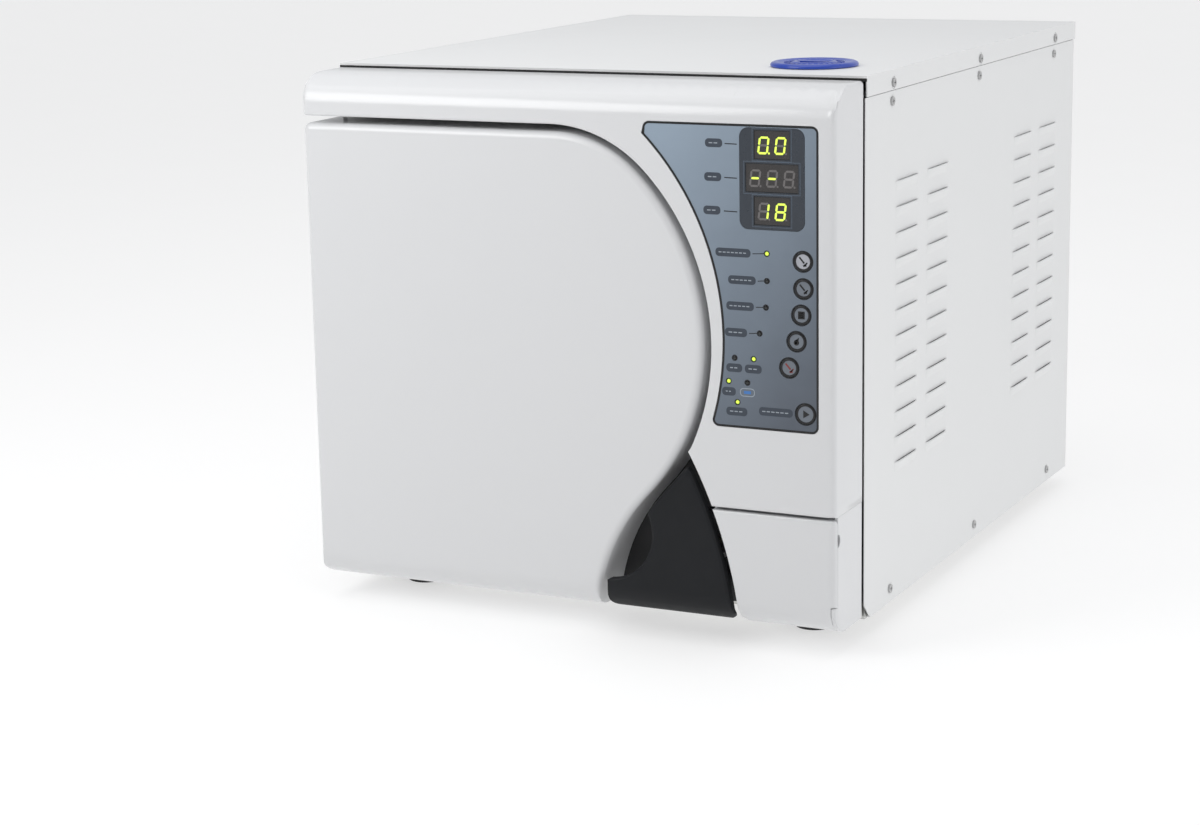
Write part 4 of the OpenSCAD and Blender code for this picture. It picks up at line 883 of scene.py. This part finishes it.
for _, _, z in PILLS[:3]:
    x = 138.6 - (PILLS[0][2] - z) * 0.02
    prints.add(stroke((x, z - 0.2), (148.2, z - 0.4), DASH_W), M["print_black"])
# place of each lamp, and whether it is lit
LEDS = [((171.5, 307.6), 1), ((171.5, 287.3), 0), ((170.6, 267.5), 0), ((165.5, 247.7), 0), ((145.3, 228), 0),
        ((160.5, 228), 1), ((140.3, 210), 1), ((155.4, 209.8), 0), ((147.3, 194.4), 1)]
for (x0, x1, z), (at, _) in zip(PILLS[3:7], LEDS[:4]):
    prints.add(stroke((x1 + 1.6, z - 0.1), (at[0] - 2.2, at[1]), 0.6), M["print_black"])
for at, _ in LEDS:
    prints.ring(disc(at, 2.35), disc(at, 1.62), M["print_black"], 0.02)

# thin frames round the digit modules
# width, lower edge and number of digits of each module
MODULES = [(28.0, 377.0, 2), (41.6, 352.8, 3), (28.4, 328.6, 2)]
WIN_CX, MOD_H = 175.8, 21.0
window_prints = Prints(FILM - 0.1, 0.03)
for w, z, _ in MODULES:
    rect = lambda e: [(WIN_CX - w / 2 - e, z - e), (WIN_CX + w / 2 + e, z - e),
                      (WIN_CX + w / 2 + e, z + MOD_H + e), (WIN_CX - w / 2 - e, z + MOD_H + e)]
    window_prints.ring(rect(1.6), rect(1.1), M["module_line"])
window_prints.make("window_lines", "cabinet", "digit_modules")

# ------------------------------------------------------------------ seven-segment digits
SEG = {"0": "abcdef", "1": "bc", "8": "abcdefg", "-": "g", " ": ""}


def digit(lit, off, cx, cz, char, dot, w=8.4, h=13.0, t=1.55, lean=0.125, g=0.18):
    """Adds seven segments of width t, g apart, and a dot to the lit or unlit shapes."""
    x0, x1, z0, z1, zm = -w / 2, w / 2, -h / 2, h / 2, 0.0
    hor = lambda z: [(x0 + t / 2 + g, z), (x0 + t + g, z + t / 2), (x1 - t - g, z + t / 2), (x1 - t / 2 - g, z),
                     (x1 - t - g, z - t / 2), (x0 + t + g, z - t / 2)]
    ver = lambda x, a, b: [(x, a + g), (x + t / 2, a + t / 2 + g), (x + t / 2, b - t / 2 - g), (x, b - g),
                           (x - t / 2, b - t / 2 - g), (x - t / 2, a + t / 2 + g)]
    h2 = t / 2
    shapes = {"a": hor(z1 - h2), "g": hor(zm), "d": hor(z0 + h2), "f": ver(x0 + h2, zm, z1 - h2),
              "b": ver(x1 - h2, zm, z1 - h2), "e": ver(x0 + h2, z0 + h2, zm), "c": ver(x1 - h2, z0 + h2, zm)}
    for k, poly in shapes.items():
        on = k in SEG[char]
        tilted = [(cx + x + lean * z, cz + z) for x, z in poly]
        (lit if on else off).add(tilted, M["segment_on" if on else "segment_off"])
    point = disc((cx + x1 + 0.1, cz + z0 + 0.8), 0.8, 14)
    (lit if dot else off).add(point, M["segment_on" if dot else "segment_off"])


MOD_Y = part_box("digit_modules")[0].y * 1000
DIGIT_PITCH = 13.3
lit, off = Prints(MOD_Y, 0.05), Prints(MOD_Y, 0.03)
for (w, z, n), text in zip(MODULES, (("0", "0"), ("-", "-", " "), ("1", "8"))):
    for i, char in enumerate(text):
        cx = WIN_CX + (i - (n - 1) / 2) * DIGIT_PITCH
        digit(lit, off, cx, z + MOD_H / 2 - 0.4, char, dot=char == "0" and i == 0)
lit.make("digits_lit", "cabinet", "digit_modules")
off.make("digits_off", "cabinet", "digit_modules")

# ------------------------------------------------------------------ lathe, lamps, buttons, cap
def lathe(profile, at, axis, n=48):
    """Turns a profile of radius and position about an axis, "y" for front parts and "z" for the cap."""
    verts, faces = [], []
    for r, h in profile:
        for i in range(n):
            c, s = math.cos(math.tau * i / n) * r, math.sin(math.tau * i / n) * r
            verts.append((at[0] + c, h, at[1] + s) if axis == "y" else (at[0] + c, at[1] + s, h))
    for k in range(len(profile) - 1):
        for i in range(n):
            j = (i + 1) % n
            q = (k * n + i, k * n + j, (k + 1) * n + j, (k + 1) * n + i)
            faces.append(q if axis == "y" else tuple(reversed(q)))
    return verts, faces


lamps_on, lamps_off = [], []
for at, on in LEDS:
    dome = [(0.001, FRONT + 0.06), (0.7, FRONT + 0.12), (1.15, FRONT + 0.3), (1.42, FRONT + 0.7),
            (1.5, FRONT + 1.4), (1.5, FRONT + 8)]
    (lamps_on if on else lamps_off).append(lathe(dome, at, "y", 20))
for name, parts, mat in (("lamps_lit", lamps_on, "led_on"), ("lamps_off", lamps_off, "led_off")):
    ob = make_object(name, *merged(parts), M[mat], "cabinet", "light_lens")
    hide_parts("status_lights")


def key(name, at, radius, face_mat, icon, slot_name):
    """A button: a dark ring, a face, a stem behind the panel, and a printed mark."""
    F = FRONT
    rim = radius - 1.75
    ring_v, ring_f = lathe([(rim, F + 0.32), (rim + 0.12, F + 0.08), (rim + 0.45, F + 0.01),
                            (radius - 0.7, F + 0.01), (radius - 0.25, F + 0.12), (radius, F + 0.5),
                            (radius, F + 3.8), (radius - 3, F + 3.8)], at, "y")
    face_v, face_f = lathe([(0.001, F + 0.36), (rim * 0.5, F + 0.35), (rim * 0.9, F + 0.32), (rim, F + 0.32)],
                           at, "y")
    stem_v, stem_f = lathe([(radius + 1.2, F + 3.4), (radius + 1.2, F + 4.4), (2, F + 4.4), (2, F + 7),
                            (0.001, F + 7)], at, "y", 32)
    verts, faces = merged([(ring_v, ring_f), (face_v, face_f), (stem_v, stem_f)])
    which = [0] * len(ring_f) + [1] * len(face_f) + [0] * len(stem_f)
    ob = make_object(name + "_cap", verts, faces, [M["print_black"], face_mat], name, slot_name, smooth=50,
                     face_mats=which)
    mark = Prints(F + 0.36, 0.06)
    for poly, m in icon:
        mark.add([(at[0] + x, at[1] + z) for x, z in poly], m)
    mark.make(name + "_mark", name, slot_name)
    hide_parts(name)


def pointer(m):
    return [(stroke((-2.9, 3.2), (1.0, -1.2), 1.3), m), ([(-0.2, -2.9), (2.9, -0.6), (2.6, -3.7)], m),
            (stroke((0.4, -3.7), (3.4, -0.6), 1.0), m)]


black, red = M["print_black"], M["print_red"]
sheet_icon = ([([(-2.7, -2.9), (2.7, -2.9), (2.7, 2.9), (-2.7, 2.9)], black)]
              + [(stroke((-1.8, z), (1.8, z), 0.55), M["print_pale"]) for z in (1.6, 0.1, -1.4)])
drop_icon = [(disc((-0.2, -0.8), 2.1, 20), black), ([(-1.9, 0.2), (1.5, 0.4), (1.9, 3.2)], black),
             (disc((-0.5, -1.0), 0.9, 16), M["print_pale"])]
ICONS = [pointer(black), pointer(black), sheet_icon, drop_icon, pointer(red)]
BUTTON_Z = (303.2, 283.0, 263.4, 243.5, 223.4)
for i, z in enumerate(BUTTON_Z):
    at = (200.4 - 0.0026 * (z - 290) ** 2, z)
    key("program_button_%d" % (i + 1), at, 7.2, M["key_pale" if i == 0 else "key_grey"], ICONS[i],
        "button_red" if i == 4 else "button_grey")
    prints.ring(disc(at, 8.15, 40), disc(at, 7.55, 40), M["print_black"])
START = (201.8, 189.3)
key("start_button", START, 7.8, M["key_grey"], [([(-1.9, -3.0), (3.2, 0.0), (-1.9, 3.0)], black)],
    "button_grey")
prints.ring(disc(START, 8.6, 40), disc(START, 8.15, 40), M["print_black"])
prints.make("overlay_print", "cabinet", "overlay_film")

cap_low, cap_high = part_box("filler_cap")
cap_at = ((cap_low.x + cap_high.x) * 500, (cap_low.y + cap_high.y) * 500)
cap_r, z1 = (cap_high.x - cap_low.x) * 500, cap_high.z * 1000
z0 = CAB_TOP + 0.3
# the cap's section: a sunk middle, a ring, a dish, the rolled rim and the plug
profile = [(0.001, z1 - 1.25), (9.0, z1 - 1.2), (13.2, z1 - 1.15), (14.0, z1 - 0.35), (14.6, z1 - 0.1),
           (16.4, z1 - 0.1), (17.0, z1 - 0.35), (17.8, z1 - 1.1), (24.5, z1 - 1.2), (27.0, z1 - 0.9),
           (28.6, z1 - 0.25), (29.8, z1 - 0.02), (31.4, z1 - 0.15), (33.0, z1 - 0.8), (cap_r - 0.15, z1 - 1.9),
           (cap_r, z1 - 2.6), (cap_r - 0.1, z0 + 0.25), (cap_r - 0.5, z0), (20.6, z0), (20.6, CAB_TOP - 8),
           (18.6, CAB_TOP - 8), (18.6, z0), (0.001, z0)]
cap_v, cap_f = lathe(profile, cap_at, "z", 96)
ribs, RIB_COUNT = [], 30
for k in range(RIB_COUNT):
    a = math.tau * k / RIB_COUNT
    c, s = math.cos(a), math.sin(a)
    pts = [(r * c - w * s, r * s + w * c) for r, w in ((19.0, -0.7), (23.2, -0.9), (23.2, 0.9), (19.0, 0.7))]
    v = [(cap_at[0] + x, cap_at[1] + y, z) for z in (z1 - 0.62, z1 - 1.4) for x, y in pts]
    ribs.append((v, [(0, 1, 2, 3), (7, 6, 5, 4), (0, 4, 5, 1), (1, 5, 6, 2), (2, 6, 7, 3), (3, 7, 4, 0)]))
bar = [(-11.0, -2.2), (11.0, -2.2), (12.0, 0.0), (11.0, 2.2), (-11.0, 2.2), (-12.0, 0.0)]
bar_v = [(cap_at[0] + x, cap_at[1] + y, z) for z in (z1 - 0.1, z1 - 1.4) for x, y in bar]
bar_f = ([tuple(range(6)), tuple(reversed(range(6, 12)))]
         + [((i + 1) % 6, i, 6 + i, 6 + (i + 1) % 6) for i in range(6)])
cap = make_object("filler_cap_skin", *merged([(cap_v, cap_f)] + ribs + [(bar_v, bar_f)]), M["blue"],
                  "filler_cap", "cap_blue", smooth=45)
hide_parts("filler_cap")

# ------------------------------------------------------------------ floor
floor_mat = material("floor", (0.42, 0.42, 0.42), 0.7, var=0.006, var_scale=1.5, rvar=0.03, grain=60, bump=0.02)
lit_floor = floor_mat.node_tree.nodes["Principled BSDF"]
lit_floor.inputs["Emission Color"].default_value = (1, 1, 1, 1)
lit_floor.inputs["Emission Strength"].default_value = 0.58
bpy.ops.mesh.primitive_plane_add(size=40, location=(0, 0, 0))
floor = bpy.context.object
floor.name = "floor"
floor.data.materials.append(floor_mat)
